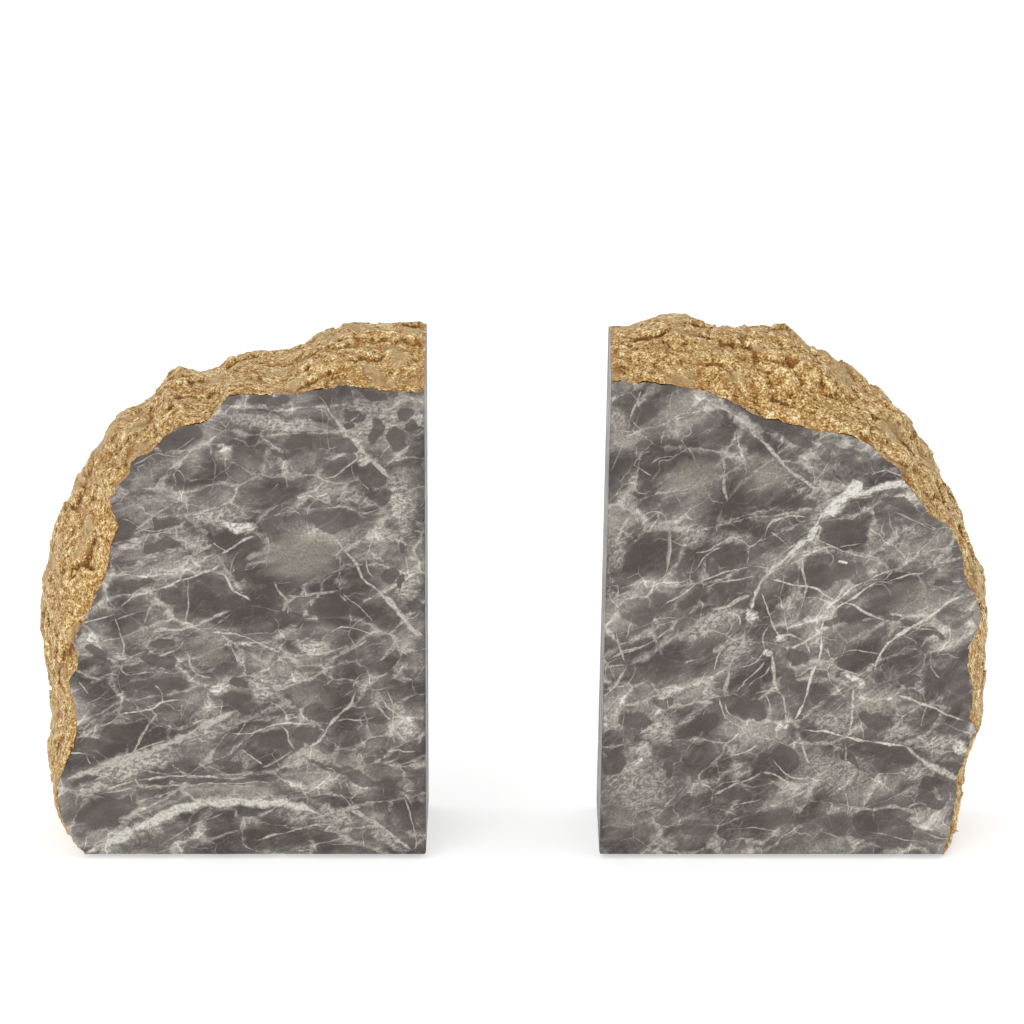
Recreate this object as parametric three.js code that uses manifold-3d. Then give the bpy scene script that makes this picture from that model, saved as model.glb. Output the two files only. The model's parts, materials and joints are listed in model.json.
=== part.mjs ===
// A pair of stone book ends: two thick quarter-round slabs of grey marble that stand on a shelf with a
// row of books between them. Each slab has sawn, polished faces (front, back, base and the face that
// meets the books) and a rough broken rim, which carries a crust of gilt. Rubber pads under the base
// keep the slab from scratching the shelf and from sliding.
//
// Units are millimetres. +X runs along the row of books, +Y away from the reader, +Z up. The origin is on
// the shelf, under the middle of the pair's bounding box.
import * as THREE from "three";
import { ImprovedNoise } from "three/addons/math/ImprovedNoise.js";
import { mergeVertices } from "three/addons/utils/BufferGeometryUtils.js";
import Module from "manifold-3d";

const wasm = await Module();
wasm.setup();

// ---- Driving dimensions ----
const bookSpace = 58.5; // between the two book faces, at the base
const slabDepth = 66; // front face to back face
const crustThickness = 1.6; // gilt crust, measured along a ray from the slab's inner bottom corner
const faceLip = 1.2; // bare stone between each polished face and the crust
const glueGap = 0.3; // between the crust and the stone that it lies on
const easedEdge = 0.8; // flat on the sawn edges
const padDiameter = 12;
const padHeight = 1.5;
const padChamfer = 0.3;
const padFromFace = 14; // book face to the centre of the inner pads
const padFromRim = 16; // end of the front face's base edge to the centre of the outer pads
const padFromFront = 13; // front and back faces to the pad centres
const crestPlace = 0.68; // where the rim is widest, as a share of the way from front to back
const backTuck = 0.42; // how far the rim draws in again by the back face, as a share of its flare
const frontSteepness = 1.8; // above 1 the rim flares mostly just behind the front face
const lumpHeight = 2.2; // broken lumps on the rim
const lumpSpacing = 17;

// Each row of an outline is [angle above the base in degrees, radius of the polished front face, radius
// of the rim where it is widest], measured from the slab's inner bottom corner as drawn. The drawing is
// then stretched to the slab's width and height. The last row lies on the book face.
const leftSlab = {
  name: "left",
  side: -1,
  width: 131.5,
  height: 173.5,
  faceLean: 0, // degrees that the book face leans away from the books
  lumpSeed: 3.7,
  rim: [
    [0, 114.5, 119],
    [2.6, 119.4, 123.6],
    [6, 123.6, 127.4],
    [9, 125.4, 130],
    [12.3, 126.4, 131.6],
    [15.5, 124.4, 133],
    [18.5, 124.6, 136],
    [22.8, 127, 141.4],
    [26.4, 133.6, 146.8],
    [29, 134, 150.2],
    [31.2, 135.8, 153.2],
    [32.2, 139.6, 154.2],
    [35.3, 140, 158.2],
    [39.8, 143, 163.4],
    [43.8, 146, 168],
    [45.7, 150, 170],
    [48.2, 153, 171.4],
    [49.6, 162, 172.6],
    [53, 164.3, 175.4],
    [54.5, 167.7, 175],
    [56.8, 166.7, 174],
    [60.7, 169.1, 178.4],
    [62.5, 167.6, 176.8],
    [64.6, 167, 172],
    [67.8, 171.3, 171.8],
    [70.1, 169.2, 171.8],
    [73.8, 166, 168.6],
    [77.6, 164.2, 172.6],
    [81, 164.2, 175.4],
    [85, 160.9, 174],
    [90, 159.8, 173.4],
  ],
};
const rightSlab = {
  name: "right",
  side: 1,
  width: 133.1,
  height: 176.4,
  faceLean: 1.2,
  lumpSeed: 11.3,
  rim: [
    [0, 116.3, 122.5],
    [2.8, 118, 124.5],
    [8.8, 121.8, 126.5],
    [12.2, 123, 129],
    [14.7, 127, 132],
    [17.2, 130, 136],
    [18.9, 133.7, 138.4],
    [21, 133.6, 140.4],
    [24.8, 138.1, 146.4],
    [28, 139.7, 150.8],
    [30.4, 143.5, 153],
    [32.1, 150.1, 154.8],
    [34.1, 153.4, 157.2],
    [38.1, 155.7, 160.4],
    [40.5, 159.1, 163.6],
    [43.3, 162, 165.6],
    [47.1, 161.5, 168.8],
    [49, 162.5, 171.6],
    [51, 163.8, 172.8],
    [53.6, 166.2, 176],
    [58.4, 167.5, 178.4],
    [60.7, 166.7, 179.2],
    [64.4, 162.6, 181],
    [68.5, 161, 183.1],
    [71.6, 160.4, 182.4],
    [75.5, 163.1, 178.8],
    [79, 163.9, 177.7],
    [81.7, 163.7, 178.2],
    [84.6, 163.5, 174.8],
    [90, 163.6, 172],
  ],
};

// ---- Worked out from them ----
const rimPointsPerRow = 2;
const farOutside = 40; // how far a cutting solid reaches past what it cuts
const depthShares = [0.1, 0.22, 0.36, 0.52, crestPlace, 0.85]; // rings of the rim between the two lips
const ringDepths = [
  0,
  easedEdge,
  faceLip,
  ...depthShares.map((share) => faceLip + share * (slabDepth - 2 * faceLip)),
  slabDepth - faceLip,
  slabDepth - easedEdge,
  slabDepth,
];
const noise = new ImprovedNoise();

// ---- Materials ----
const marble = new THREE.MeshStandardMaterial({ color: 0x6b6562, roughness: 0.35, metalness: 0 });
const gilt = new THREE.MeshStandardMaterial({ color: 0xc99a4e, roughness: 0.4, metalness: 1 });
const rubber = new THREE.MeshStandardMaterial({ color: 0x1c1b1a, roughness: 0.8, metalness: 0 });

// ---- Solids ----
// A closed geometry as a solid that can be cut and joined.
function solidOf(geometry) {
  const bare = geometry.index ? geometry.toNonIndexed() : geometry.clone();
  bare.deleteAttribute("normal");
  bare.deleteAttribute("uv");
  const merged = mergeVertices(bare, 1e-4);
  return new wasm.Manifold(
    new wasm.Mesh({
      numProp: 3,
      vertProperties: new Float32Array(merged.attributes.position.array),
      triVerts: new Uint32Array(merged.index.array),
    }),
  );
}

function meshOf(solid, name, material) {
  const cut = solid.getMesh();
  const geometry = new THREE.BufferGeometry();
  geometry.setAttribute("position", new THREE.BufferAttribute(cut.vertProperties, cut.numProp));
  geometry.setIndex(new THREE.BufferAttribute(cut.triVerts, 1));
  geometry.computeVertexNormals();
  const mesh = new THREE.Mesh(geometry, material);
  mesh.name = name;
  return mesh;
}

// The curve through an outline's points, as drawn: column 1 is the front face, column 2 the widest rim.
function drawnCurve(slab, column) {
  const points = slab.rim.map((row) => {
    const angle = THREE.MathUtils.degToRad(row[0]);
    return new THREE.Vector2(Math.cos(angle), Math.sin(angle)).multiplyScalar(row[column]);
  });
  return new THREE.SplineCurve(points).getPoints((points.length - 1) * rimPointsPerRow);
}

// How far the book face leans away from the books per millimetre of height.
function leanSlope(slab) {
  return Math.tan(THREE.MathUtils.degToRad(slab.faceLean));
}

// How much of the flare the rim has at a depth: none at the front face, all of it at the crest.
function flareAt(depth) {
  const share = depth / slabDepth;
  if (share < crestPlace) return 1 - (1 - share / crestPlace) ** frontSteepness;
  return 1 - backTuck * ((share - crestPlace) / (1 - crestPlace)) ** 2;
}

// The rim's points (along, up) at each ring, stretched to the slab's size. Lumps fade out at both faces,
// and the last point of each ring is moved onto the book face.
function rimRings(slab) {
  const face = drawnCurve(slab, 1);
  const crest = drawnCurve(slab, 2);
  const stretch = new THREE.Vector2(
    slab.width / Math.max(...crest.map((p) => p.x)),
    slab.height / Math.max(...crest.map((p) => p.y)),
  );
  return ringDepths.map((depth) => {
    const bare = depth <= faceLip || depth >= slabDepth - faceLip;
    const edgeDepth = depth <= faceLip ? 0 : depth >= slabDepth - faceLip ? slabDepth : depth;
    const lumps = bare ? 0 : lumpHeight * Math.sin((Math.PI * depth) / slabDepth);
    return face.map((p, i) => {
      const point = p.clone().lerp(crest[i], flareAt(edgeDepth)).multiply(stretch);
      if (i === face.length - 1) point.x = point.y * leanSlope(slab);
      const at = new THREE.Vector3(point.x, point.y, depth).divideScalar(lumpSpacing);
      const lump = lumps * noise.noise(at.x, at.y, at.z + slab.lumpSeed);
      return point.setLength(point.length() + lump);
    });
  });
}

// A slab-shaped solid: the front outline extruded ring by ring, then each ring's points moved to where
// the rim is at that depth. corner lists the points that close the outline past the rim's two ends.
function slabSolid(rings, corner) {
  const outline = rings.map((ring, k) => [...corner(ring, k), ...ring]);
  const steps = rings.length - 1;
  const stack = { depth: steps, steps, bevelEnabled: false };
  const geometry = new THREE.ExtrudeGeometry(new THREE.Shape(outline[0]), stack);
  const position = geometry.getAttribute("position");
  for (let n = 0; n < position.count; n++) {
    const from = new THREE.Vector2(position.getX(n), position.getY(n));
    const distances = outline[0].map((p) => p.distanceTo(from));
    const ring = Math.round(position.getZ(n));
    const to = outline[ring][distances.indexOf(Math.min(...distances))];
    position.setXYZ(n, to.x, to.y, ringDepths[ring]);
  }
  return solidOf(geometry);
}

// The whole stone, with its sawn edges eased.
function wholeStone(slab, rings) {
  const lean = leanSlope(slab);
  const eased = rings.map((ring, k) => {
    const onFace = k === 0 || k === rings.length - 1;
    const back = onFace ? easedEdge : 0;
    return ring.map((p) => new THREE.Vector2(Math.max(p.x, back + p.y * lean), Math.max(p.y, back)));
  });
  return slabSolid(eased, (ring, k) => {
    const back = k === 0 || k === rings.length - 1 ? easedEdge : 0;
    const up = back + easedEdge;
    return [new THREE.Vector2(back + up * lean, up), new THREE.Vector2(up, back)];
  });
}

// What is left of the stone under the rim once it is cut back by an inset, carried on past the base, the
// book face and the two polished faces so that it cuts cleanly.
function underRim(rings, inset) {
  const cutBack = rings.map((ring) => ring.map((p) => p.clone().setLength(p.length() - inset)));
  return slabSolid(cutBack, (ring) => [
    new THREE.Vector2(-farOutside, ring.at(-1).y),
    new THREE.Vector2(-farOutside, -farOutside),
    new THREE.Vector2(ring[0].x, -farOutside),
  ]);
}

// The span of depth between two cuts, wider than any slab.
function depthSpan(slab, from, to) {
  const across = 2 * (slab.width + slab.height);
  const box = new THREE.BoxGeometry(across, across, to - from);
  box.translate(0, 0, (from + to) / 2);
  return solidOf(box);
}

// ---- Pieces ----
// A slab is drawn in its own frame: x along the shelf away from the books, y up from the base, z from the
// front face to the back. The right slab is mirrored, and the group is turned to stand on the shelf, which
// makes x into -X (into +X for the mirrored one), y into +Z and z into +Y.
function makeSlab(slab) {
  const rings = rimRings(slab);
  const stone = wholeStone(slab, rings);
  const crustSpan = depthSpan(slab, faceLip, slabDepth - faceLip);
  const crust = stone.intersect(crustSpan).subtract(underRim(rings, crustThickness));
  const seatSpan = depthSpan(slab, faceLip - glueGap, slabDepth - faceLip + glueGap);
  const seat = seatSpan.subtract(underRim(rings, crustThickness + glueGap));
  const core = stone.subtract(seat);

  const sided = (solid) => (slab.side > 0 ? solid.mirror([1, 0, 0]) : solid);
  const group = new THREE.Group();
  group.add(meshOf(sided(core), `${slab.name}_marble_slab`, marble));
  group.add(meshOf(sided(crust), `${slab.name}_gilt_crust`, gilt));
  addPads(group, slab, rings[0][0].x);
  group.setRotationFromAxisAngle(new THREE.Vector3(0, 1, 1).normalize(), Math.PI);
  group.position.set((slab.side * bookSpace) / 2, 0, padHeight);
  return group;
}

// Four round pads under the base, with a small chamfer at the floor.
function addPads(group, slab, baseReach) {
  const radius = padDiameter / 2;
  const profile = [
    [0, -padHeight],
    [radius - padChamfer, -padHeight],
    [radius, padChamfer - padHeight],
    [radius, 0],
    [0, 0],
  ].map(([x, y]) => new THREE.Vector2(x, y));
  const places = {
    front_inner: [padFromFace, padFromFront],
    front_outer: [baseReach - padFromRim, padFromFront],
    back_inner: [padFromFace, slabDepth - padFromFront],
    back_outer: [baseReach - padFromRim, slabDepth - padFromFront],
  };
  for (const [place, [along, depth]] of Object.entries(places)) {
    const pad = new THREE.Mesh(new THREE.LatheGeometry(profile, 28), rubber);
    pad.name = `${slab.name}_pad_${place}`;
    pad.position.set(-slab.side * along, 0, depth);
    group.add(pad);
  }
}

// ---- The pair ----
const pair = new THREE.Group();
pair.add(makeSlab(leftSlab), makeSlab(rightSlab));
pair.updateMatrixWorld(true);
const middle = new THREE.Box3().setFromObject(pair, true).getCenter(new THREE.Vector3());
pair.position.set(-middle.x, -middle.y, 0);

const bookEnds = new THREE.Group();
bookEnds.add(pair);
export default bookEnds;
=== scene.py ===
# %% [markdown]
# # A pair of marble book ends with gilt rims
#
# Two thick slabs of veined grey marble stand on a shelf with a gap for books between them. Their faces
# are sawn and polished, and the broken outer rim of each one is gilded. This lesson dresses the finished
# CAD model of the pair: it keeps the CAD sizes, models the broken gilt rim and the ragged edge where it
# meets the polished stone, and builds the marble, the gilt and the rubber from procedural nodes.

# %% Load the CAD model
import json
import math
from collections import namedtuple

import bmesh
import bpy
import numpy as np
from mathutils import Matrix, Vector, noise
from mathutils.bvhtree import BVHTree


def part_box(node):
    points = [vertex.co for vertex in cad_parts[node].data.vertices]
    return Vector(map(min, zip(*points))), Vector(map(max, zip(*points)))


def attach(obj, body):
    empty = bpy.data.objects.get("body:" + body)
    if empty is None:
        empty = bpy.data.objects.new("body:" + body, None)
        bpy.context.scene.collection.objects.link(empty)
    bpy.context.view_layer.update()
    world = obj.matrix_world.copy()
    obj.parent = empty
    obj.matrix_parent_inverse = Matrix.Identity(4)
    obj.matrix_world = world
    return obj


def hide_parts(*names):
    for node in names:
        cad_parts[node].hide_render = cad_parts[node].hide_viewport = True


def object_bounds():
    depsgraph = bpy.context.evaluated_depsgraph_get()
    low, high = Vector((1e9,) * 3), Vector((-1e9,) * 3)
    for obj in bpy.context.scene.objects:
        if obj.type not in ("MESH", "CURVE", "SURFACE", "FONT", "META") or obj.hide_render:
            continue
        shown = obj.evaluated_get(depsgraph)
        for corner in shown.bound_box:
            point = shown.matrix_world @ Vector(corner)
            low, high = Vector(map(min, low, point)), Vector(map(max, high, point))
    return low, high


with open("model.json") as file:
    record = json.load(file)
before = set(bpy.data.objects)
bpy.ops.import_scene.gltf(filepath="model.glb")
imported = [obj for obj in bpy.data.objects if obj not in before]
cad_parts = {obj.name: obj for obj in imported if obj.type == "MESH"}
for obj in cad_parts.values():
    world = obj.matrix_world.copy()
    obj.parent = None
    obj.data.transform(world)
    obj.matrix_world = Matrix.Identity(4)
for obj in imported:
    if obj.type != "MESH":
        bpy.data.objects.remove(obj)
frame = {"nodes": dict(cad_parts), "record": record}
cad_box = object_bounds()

print("CAD box in metres:", [tuple(round(c, 4) for c in corner) for corner in cad_box])

# %% [markdown]
# Each slab gets a small frame of its own, in millimetres: `along` runs from the book face outwards,
# `depth` from the polished front to the back, and `up` from the sawn base. Everything that follows is
# placed in that frame, so the left and the right slab can share every function. The sizes come from the
# CAD pieces' boxes and from the record, which gives the direction of each book face.

# %% The two slabs' frames
MM = 0.001
Slab = namedtuple("Slab", "name side face front base depth lean")


def slab_frame(name, side):
    low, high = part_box(f"{name}_marble_slab")
    face = high.x if side < 0 else low.x
    mounts = {mount["name"]: mount for mount in frame["record"]["mounts"]}
    axis = mounts[f"{name}_book_face"]["axis"]
    lean = math.atan2(axis[2], abs(axis[0]))
    return Slab(name, side, face, low.y, low.z, (high.y - low.y) / MM, lean)


LEFT = slab_frame("left", -1)
RIGHT = slab_frame("right", 1)


def place(slab, along, depth, up):
    """A point of a slab's own frame, in the model's metres."""
    return Vector((slab.face + slab.side * along * MM, slab.front + depth * MM, slab.base + up * MM))


for slab in (LEFT, RIGHT):
    print(slab.name, "slab:", round(slab.depth, 1), "mm deep, face leans", round(math.degrees(slab.lean), 2))

# %% [markdown]
# The camera stands well back with a long lens, a little above the slabs, so the top of the rim shows
# and upright edges stay almost parallel. It is aimed two thirds of the way up, over the gap's middle.

# %% Camera
CAMERA_PITCH = math.radians(13)
CAMERA_DISTANCE = 1.9
CAMERA_LENS = 200.4
SENSOR_WIDTH = 36
AIM_SIDEWAYS = -0.0002
AIM_HEIGHT = 0.1205

camera = bpy.data.objects.new("camera", bpy.data.cameras.new("camera"))
camera.data.lens = CAMERA_LENS
camera.data.sensor_width = SENSOR_WIDTH
looking = Vector((0, math.cos(CAMERA_PITCH), -math.sin(CAMERA_PITCH)))
aim = Vector(((LEFT.face + RIGHT.face) / 2 + AIM_SIDEWAYS, cad_box[0].y, AIM_HEIGHT))
camera.location = aim - looking * CAMERA_DISTANCE
camera.rotation_mode = "QUATERNION"
camera.rotation_quaternion = looking.to_track_quat("-Z", "Y")
bpy.context.scene.collection.objects.link(camera)
bpy.context.scene.camera = camera
print("Camera at", tuple(round(c, 3) for c in camera.location))

# %% [markdown]
# A few short helpers wire shader nodes: each one adds a node, plugs in numbers or other nodes' outputs,
# and returns the new output. They keep the materials below short enough to read as a list of layers.
# A fade takes where it begins and ends, and what it gives there. A noise takes its scale, how many
# layers of detail it has and how strong they are.

# %% Helpers for wiring nodes
MIX_SOCKETS = {"FLOAT": (2, 3, 0), "RGBA": (6, 7, 2)}


def plug(tree, socket, value):
    """Gives a socket another node's output, or a number or colour of its own."""
    if isinstance(value, bpy.types.NodeSocket):
        tree.links.new(value, socket)
    elif value is not None:
        socket.default_value = value


def set_inputs(tree, node, values):
    for name, value in values.items():
        plug(tree, node.inputs[name], value)


def calc(tree, operation, a, b=None, c=None):
    node = tree.nodes.new("ShaderNodeMath")
    node.operation = operation
    for socket, value in zip(node.inputs, (a, b, c)):
        plug(tree, socket, value)
    return node.outputs[0]


def times(tree, a, b):
    return calc(tree, "MULTIPLY", a, b)


def brighter(tree, a, b):
    return calc(tree, "MAXIMUM", a, b)


def layered(tree, tone, layer, strength):
    """The tone with a layer added on top."""
    return calc(tree, "MULTIPLY_ADD", layer, strength, tone)


def centred(tree, value):
    """A noise value made to swing about zero."""
    return calc(tree, "SUBTRACT", value, 0.5)


def vector_calc(tree, operation, a, b, output="Vector"):
    node = tree.nodes.new("ShaderNodeVectorMath")
    node.operation = operation
    plug(tree, node.inputs[0], a)
    plug(tree, node.inputs[1], b)
    return node.outputs[output]


def scaled(tree, vector, factor):
    node = tree.nodes.new("ShaderNodeVectorMath")
    node.operation = "SCALE"
    plug(tree, node.inputs[0], vector)
    plug(tree, node.inputs["Scale"], factor)
    return node.outputs[0]


def fade(tree, value, low, high, start=0.0, end=1.0):
    """A smooth step of value: start below low, end above high."""
    node = tree.nodes.new("ShaderNodeMapRange")
    node.interpolation_type = "SMOOTHSTEP"
    set_inputs(tree, node, {"Value": value, "From Min": low, "From Max": high,
                            "To Min": start, "To Max": end})
    return node.outputs["Result"]


def noise_at(tree, vector, scale, detail=4.0, roughness=0.55, output="Fac"):
    node = tree.nodes.new("ShaderNodeTexNoise")
    set_inputs(tree, node, {"Vector": vector, "Scale": scale, "Detail": detail, "Roughness": roughness})
    return node.outputs[output]


def mix(tree, factor, a, b, kind="FLOAT", how="MIX"):
    """Mixes two numbers or two colours. The node's sockets share names, so they are found by number."""
    node = tree.nodes.new("ShaderNodeMix")
    node.data_type = kind
    node.blend_type = how
    first, second, mixed = MIX_SOCKETS[kind]
    set_inputs(tree, node, {"Factor": factor, first: a, second: b})
    return node.outputs[mixed]


def colour_steps(tree, factor, steps):
    node = tree.nodes.new("ShaderNodeValToRGB")
    ramp = node.color_ramp
    while len(ramp.elements) < len(steps):
        ramp.elements.new(0.5)
    for element, (position, colour) in zip(ramp.elements, steps):
        element.position = position
        element.color = (*colour, 1)
    plug(tree, node.inputs[0], factor)
    return node.outputs["Color"]


def new_group(name, inputs, output, kind="Float"):
    """An empty shader node group; returns it, its inputs by name and its one output."""
    group = bpy.data.node_groups.new(name, "ShaderNodeTree")
    for socket_name, default in inputs.items():
        socket_kind = "Vector" if isinstance(default, tuple) else "Float"
        socket = group.interface.new_socket(socket_name, in_out="INPUT",
                                            socket_type=f"NodeSocket{socket_kind}")
        socket.default_value = default
    group.interface.new_socket(output, in_out="OUTPUT", socket_type=f"NodeSocket{kind}")
    given = group.nodes.new("NodeGroupInput").outputs
    return group, given, group.nodes.new("NodeGroupOutput").inputs[0]


def use_group(tree, group, **values):
    node = tree.nodes.new("ShaderNodeGroup")
    node.node_tree = group
    set_inputs(tree, node, values)
    return node.outputs[0]


def new_material(name):
    material = bpy.data.materials.new(name)
    material.use_nodes = True
    tree = material.node_tree
    return material, tree, tree.nodes["Principled BSDF"]


print("Helpers for wiring nodes are ready")

# %% [markdown]
# The floor is plain and pale, and glows a little like a light table, so it goes to white and keeps only
# a thin contact shadow. Most of the light is the even white world; one soft sun from the front left, at
# a low slant, gives the rough gilt its sparkle and shade.

# %% Floor and studio light
FLOOR_SIZE = 30
WORLD_STRENGTH = 0.98
SUN_ENERGY = 1.1
SUN_SOFTNESS = math.radians(40)
SUN_DIRECTION = Vector((0.40, 0.90, -0.50))

floor_mesh = bmesh.new()
bmesh.ops.create_grid(floor_mesh, x_segments=1, y_segments=1, size=FLOOR_SIZE)
floor = bpy.data.objects.new("floor", bpy.data.meshes.new("floor"))
floor_mesh.to_mesh(floor.data)
floor_mesh.free()
bpy.context.scene.collection.objects.link(floor)
floor_paint, floor_tree, floor_shader = new_material("floor_paint")
set_inputs(floor_tree, floor_shader, {
    "Base Color": (0.62, 0.62, 0.62, 1), "Roughness": 0.9, "Specular IOR Level": 0.0,
    "Emission Color": (1, 1, 1, 1), "Emission Strength": 0.5})
floor.data.materials.append(floor_paint)

world = bpy.data.worlds.new("studio")
world.use_nodes = True
set_inputs(world.node_tree, world.node_tree.nodes["Background"], {
    "Color": (1, 1, 1, 1), "Strength": WORLD_STRENGTH})
bpy.context.scene.world = world
bpy.context.scene.view_settings.view_transform = "Standard"

sun = bpy.data.objects.new("sun", bpy.data.lights.new("sun", "SUN"))
sun.data.energy = SUN_ENERGY
sun.data.angle = SUN_SOFTNESS
sun.rotation_mode = "QUATERNION"
sun.rotation_quaternion = SUN_DIRECTION.to_track_quat("-Z", "Y")
bpy.context.scene.collection.objects.link(sun)
print("Floor, world and one soft sun are in place")

# %% [markdown]
# The rim is measured on the CAD solids by casting rays at them, from outside towards the slab's inner
# bottom corner. The answer is a radius for each angle above the base and each depth. Rays along the very
# border would slip past the solids, so they stay a small margin inside it.

# %% Measure the CAD rim
RAY_START = 0.4
ANGLE_MARGIN = math.radians(0.5)
DEPTH_MARGIN = 0.05
CREST_SHARE = 0.68


def solid_tree(node):
    mesh = bmesh.new()
    mesh.from_mesh(frame["nodes"][node].data)
    tree = BVHTree.FromBMesh(mesh)
    mesh.free()
    return tree


def rim_reader(slab):
    """Returns a function that gives the rim's radius in millimetres at an angle and a depth, and the
    angle at which the rim ends."""
    trees = [solid_tree(f"{slab.name}_{part}") for part in ("marble_slab", "gilt_crust")]
    last_angle = math.pi / 2 - slab.lean

    def radius_at(angle, depth):
        safe = min(max(angle, ANGLE_MARGIN), last_angle - ANGLE_MARGIN)
        outward = Vector((slab.side * math.cos(safe), 0, math.sin(safe)))
        corner = place(slab, 0, min(max(depth, DEPTH_MARGIN), slab.depth - DEPTH_MARGIN), 0)
        hits = [tree.ray_cast(corner + outward * RAY_START, -outward)[3] for tree in trees]
        return (RAY_START - min(hit for hit in hits if hit is not None)) / MM

    return radius_at, last_angle


for slab in (LEFT, RIGHT):
    radius_at, last_angle = rim_reader(slab)
    print(slab.name, "rim radius at 45 degrees:", round(radius_at(math.pi / 4, 0), 1), "front,",
          round(radius_at(math.pi / 4, slab.depth * CREST_SHARE), 1), "crest")

# %% [markdown]
# The broken edge is worked like a sheet of leaf. A flat grid is made, and each of its points is laid on
# the rim: one side of the grid runs along the edge of the front face, the other along the back. Chips
# along the two edges make the line between stone and gilt ragged; both pieces use the same chips, so
# their edges meet to within a few tenths of a millimetre. Fractal noise takes a point, how fast its
# octaves weaken, how much finer each one is and how many there are.

# %% Chips and the rim sheet
CHIP_REACH = 4.0
COARSE_CHIPS = 0.75
FINE_CHIPS = 0.32


def chip(slab, point):
    """How far the broken edge stands in or out at a point of the outline, in millimetres."""
    seed = Vector((17.0 * slab.side, 3.0, 0.0))
    coarse = noise.fractal(point * 0.16 + seed, 0.9, 2.1, 3)
    fine = noise.fractal(point * 0.75 + seed, 0.8, 2.0, 3)
    return COARSE_CHIPS * coarse + FINE_CHIPS * fine


def rim_sheet(slab, columns, rows, edge_depth, lift):
    """A grid laid on the rim. lift(point, inward) raises each point; inward is how far it is from the
    nearest border of the sheet. Returns the bmesh, the heights and each vertex's column and row."""
    radius_at, last_angle = rim_reader(slab)
    sheet = bmesh.new()
    sheet.verts.layers.float.new("hollow")
    inward_layer = sheet.verts.layers.float.new("inward")
    bmesh.ops.create_grid(sheet, x_segments=columns, y_segments=rows, size=1)
    heights = np.zeros((columns + 1, rows + 1))
    cell = {}
    for vert in sheet.verts:
        i = round((vert.co.x + 1) / 2 * columns)
        j = round((vert.co.y + 1) / 2 * rows)
        angle = i / columns * last_angle
        depth = edge_depth + j / rows * (slab.depth - 2 * edge_depth)
        radius = radius_at(angle, depth)
        from_face = min(depth, slab.depth - depth)
        inward = min(from_face, radius * angle, radius * (last_angle - angle))
        on_rim = Vector((radius * math.cos(angle), depth, radius * math.sin(angle)))
        on_edge = Vector((on_rim.x, 0 if depth < slab.depth / 2 else slab.depth, on_rim.z))
        ragged = chip(slab, on_edge) * max(0.0, 1 - from_face / CHIP_REACH)
        heights[i, j] = lift(on_rim, inward)
        reach = radius + ragged + heights[i, j]
        cell[vert] = (i, j)
        vert[inward_layer] = inward
        vert.co = place(slab, reach * math.cos(angle), depth, reach * math.sin(angle))
    return sheet, heights, cell


def finish_piece(mesh, name, body, replaces, smooth):
    """Turns a bmesh into a finished piece that rides on a body and stands for a CAD node."""
    piece = bpy.data.objects.new(name, bpy.data.meshes.new(name))
    mesh.to_mesh(piece.data)
    mesh.free()
    piece.data.polygons.foreach_set("use_smooth", [smooth] * len(piece.data.polygons))
    bpy.context.scene.collection.objects.link(piece)
    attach(piece, body)
    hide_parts(replaces)
    return piece


for slab in (LEFT, RIGHT):
    print(slab.name, "chips up the book face:",
          [round(chip(slab, Vector((0, 0, up))), 2) for up in range(0, 160, 40)])

# %% [markdown]
# The polished slab starts from such a sheet. Its lower edge is extruded to the inner bottom corner to
# make the base, its other end to make the book face, and the two remaining holes are filled to make the
# front and back. Under the gilt the stone is drawn in a little, out of the crust's way. Then the sawn
# edges are eased by cutting two narrow flats along each one, each turned part of the way from one face
# towards the other.

# %% The polished slabs
SLAB_COLUMNS = 560
SLAB_ROWS = 22
UNDER_CRUST = 1.7
TUCK_REACH = 3.0
MERGE_DISTANCE = 1e-6
EASED_DEPTH = 0.434
EASED_TURNS = (0.3, 0.7)


def cut_flat(mesh, point, outward):
    """Cuts everything beyond a plane away and fills the cut."""
    parts = mesh.verts[:] + mesh.edges[:] + mesh.faces[:]
    cut = bmesh.ops.bisect_plane(mesh, geom=parts, plane_co=point, plane_no=outward, clear_outer=True)
    edges = [part for part in cut["geom_cut"] if isinstance(part, bmesh.types.BMEdge)]
    bmesh.ops.holes_fill(mesh, edges=edges, sides=0)


def ease_sawn_edges(mesh, slab):
    down = Vector((0, 0, -1))
    toward_books = Vector((-slab.side * math.cos(slab.lean), 0, math.sin(slab.lean)))
    front, back = Vector((0, -1, 0)), Vector((0, 1, 0))
    for one, other in ((down, toward_books), (down, front), (down, back),
                       (toward_books, front), (toward_books, back)):
        edge_point = place(slab, 0, slab.depth if back in (one, other) else 0, 0)
        for turn in EASED_TURNS:
            outward = one.lerp(other, turn).normalized()
            cut_flat(mesh, edge_point - outward * EASED_DEPTH * MM, outward)


def polished_slab(slab):
    def tuck(_, inward):
        return -UNDER_CRUST * min(1.0, inward / TUCK_REACH)

    mesh, _, cell = rim_sheet(slab, SLAB_COLUMNS, SLAB_ROWS, 0.0, tuck)
    corner = place(slab, 0, 0, 0)
    for end in (0, SLAB_COLUMNS):
        edges = [e for e in mesh.edges if all(v in cell and cell[v][0] == end for v in e.verts)]
        grown = bmesh.ops.extrude_edge_only(mesh, edges=edges)["geom"]
        for vert in (part for part in grown if isinstance(part, bmesh.types.BMVert)):
            vert.co = Vector((corner.x, vert.co.y, corner.z))
    bmesh.ops.remove_doubles(mesh, verts=mesh.verts[:], dist=MERGE_DISTANCE)
    bmesh.ops.holes_fill(mesh, edges=[e for e in mesh.edges if e.is_boundary], sides=0)
    bmesh.ops.recalc_face_normals(mesh, faces=mesh.faces[:])
    ease_sawn_edges(mesh, slab)
    return mesh


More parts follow.
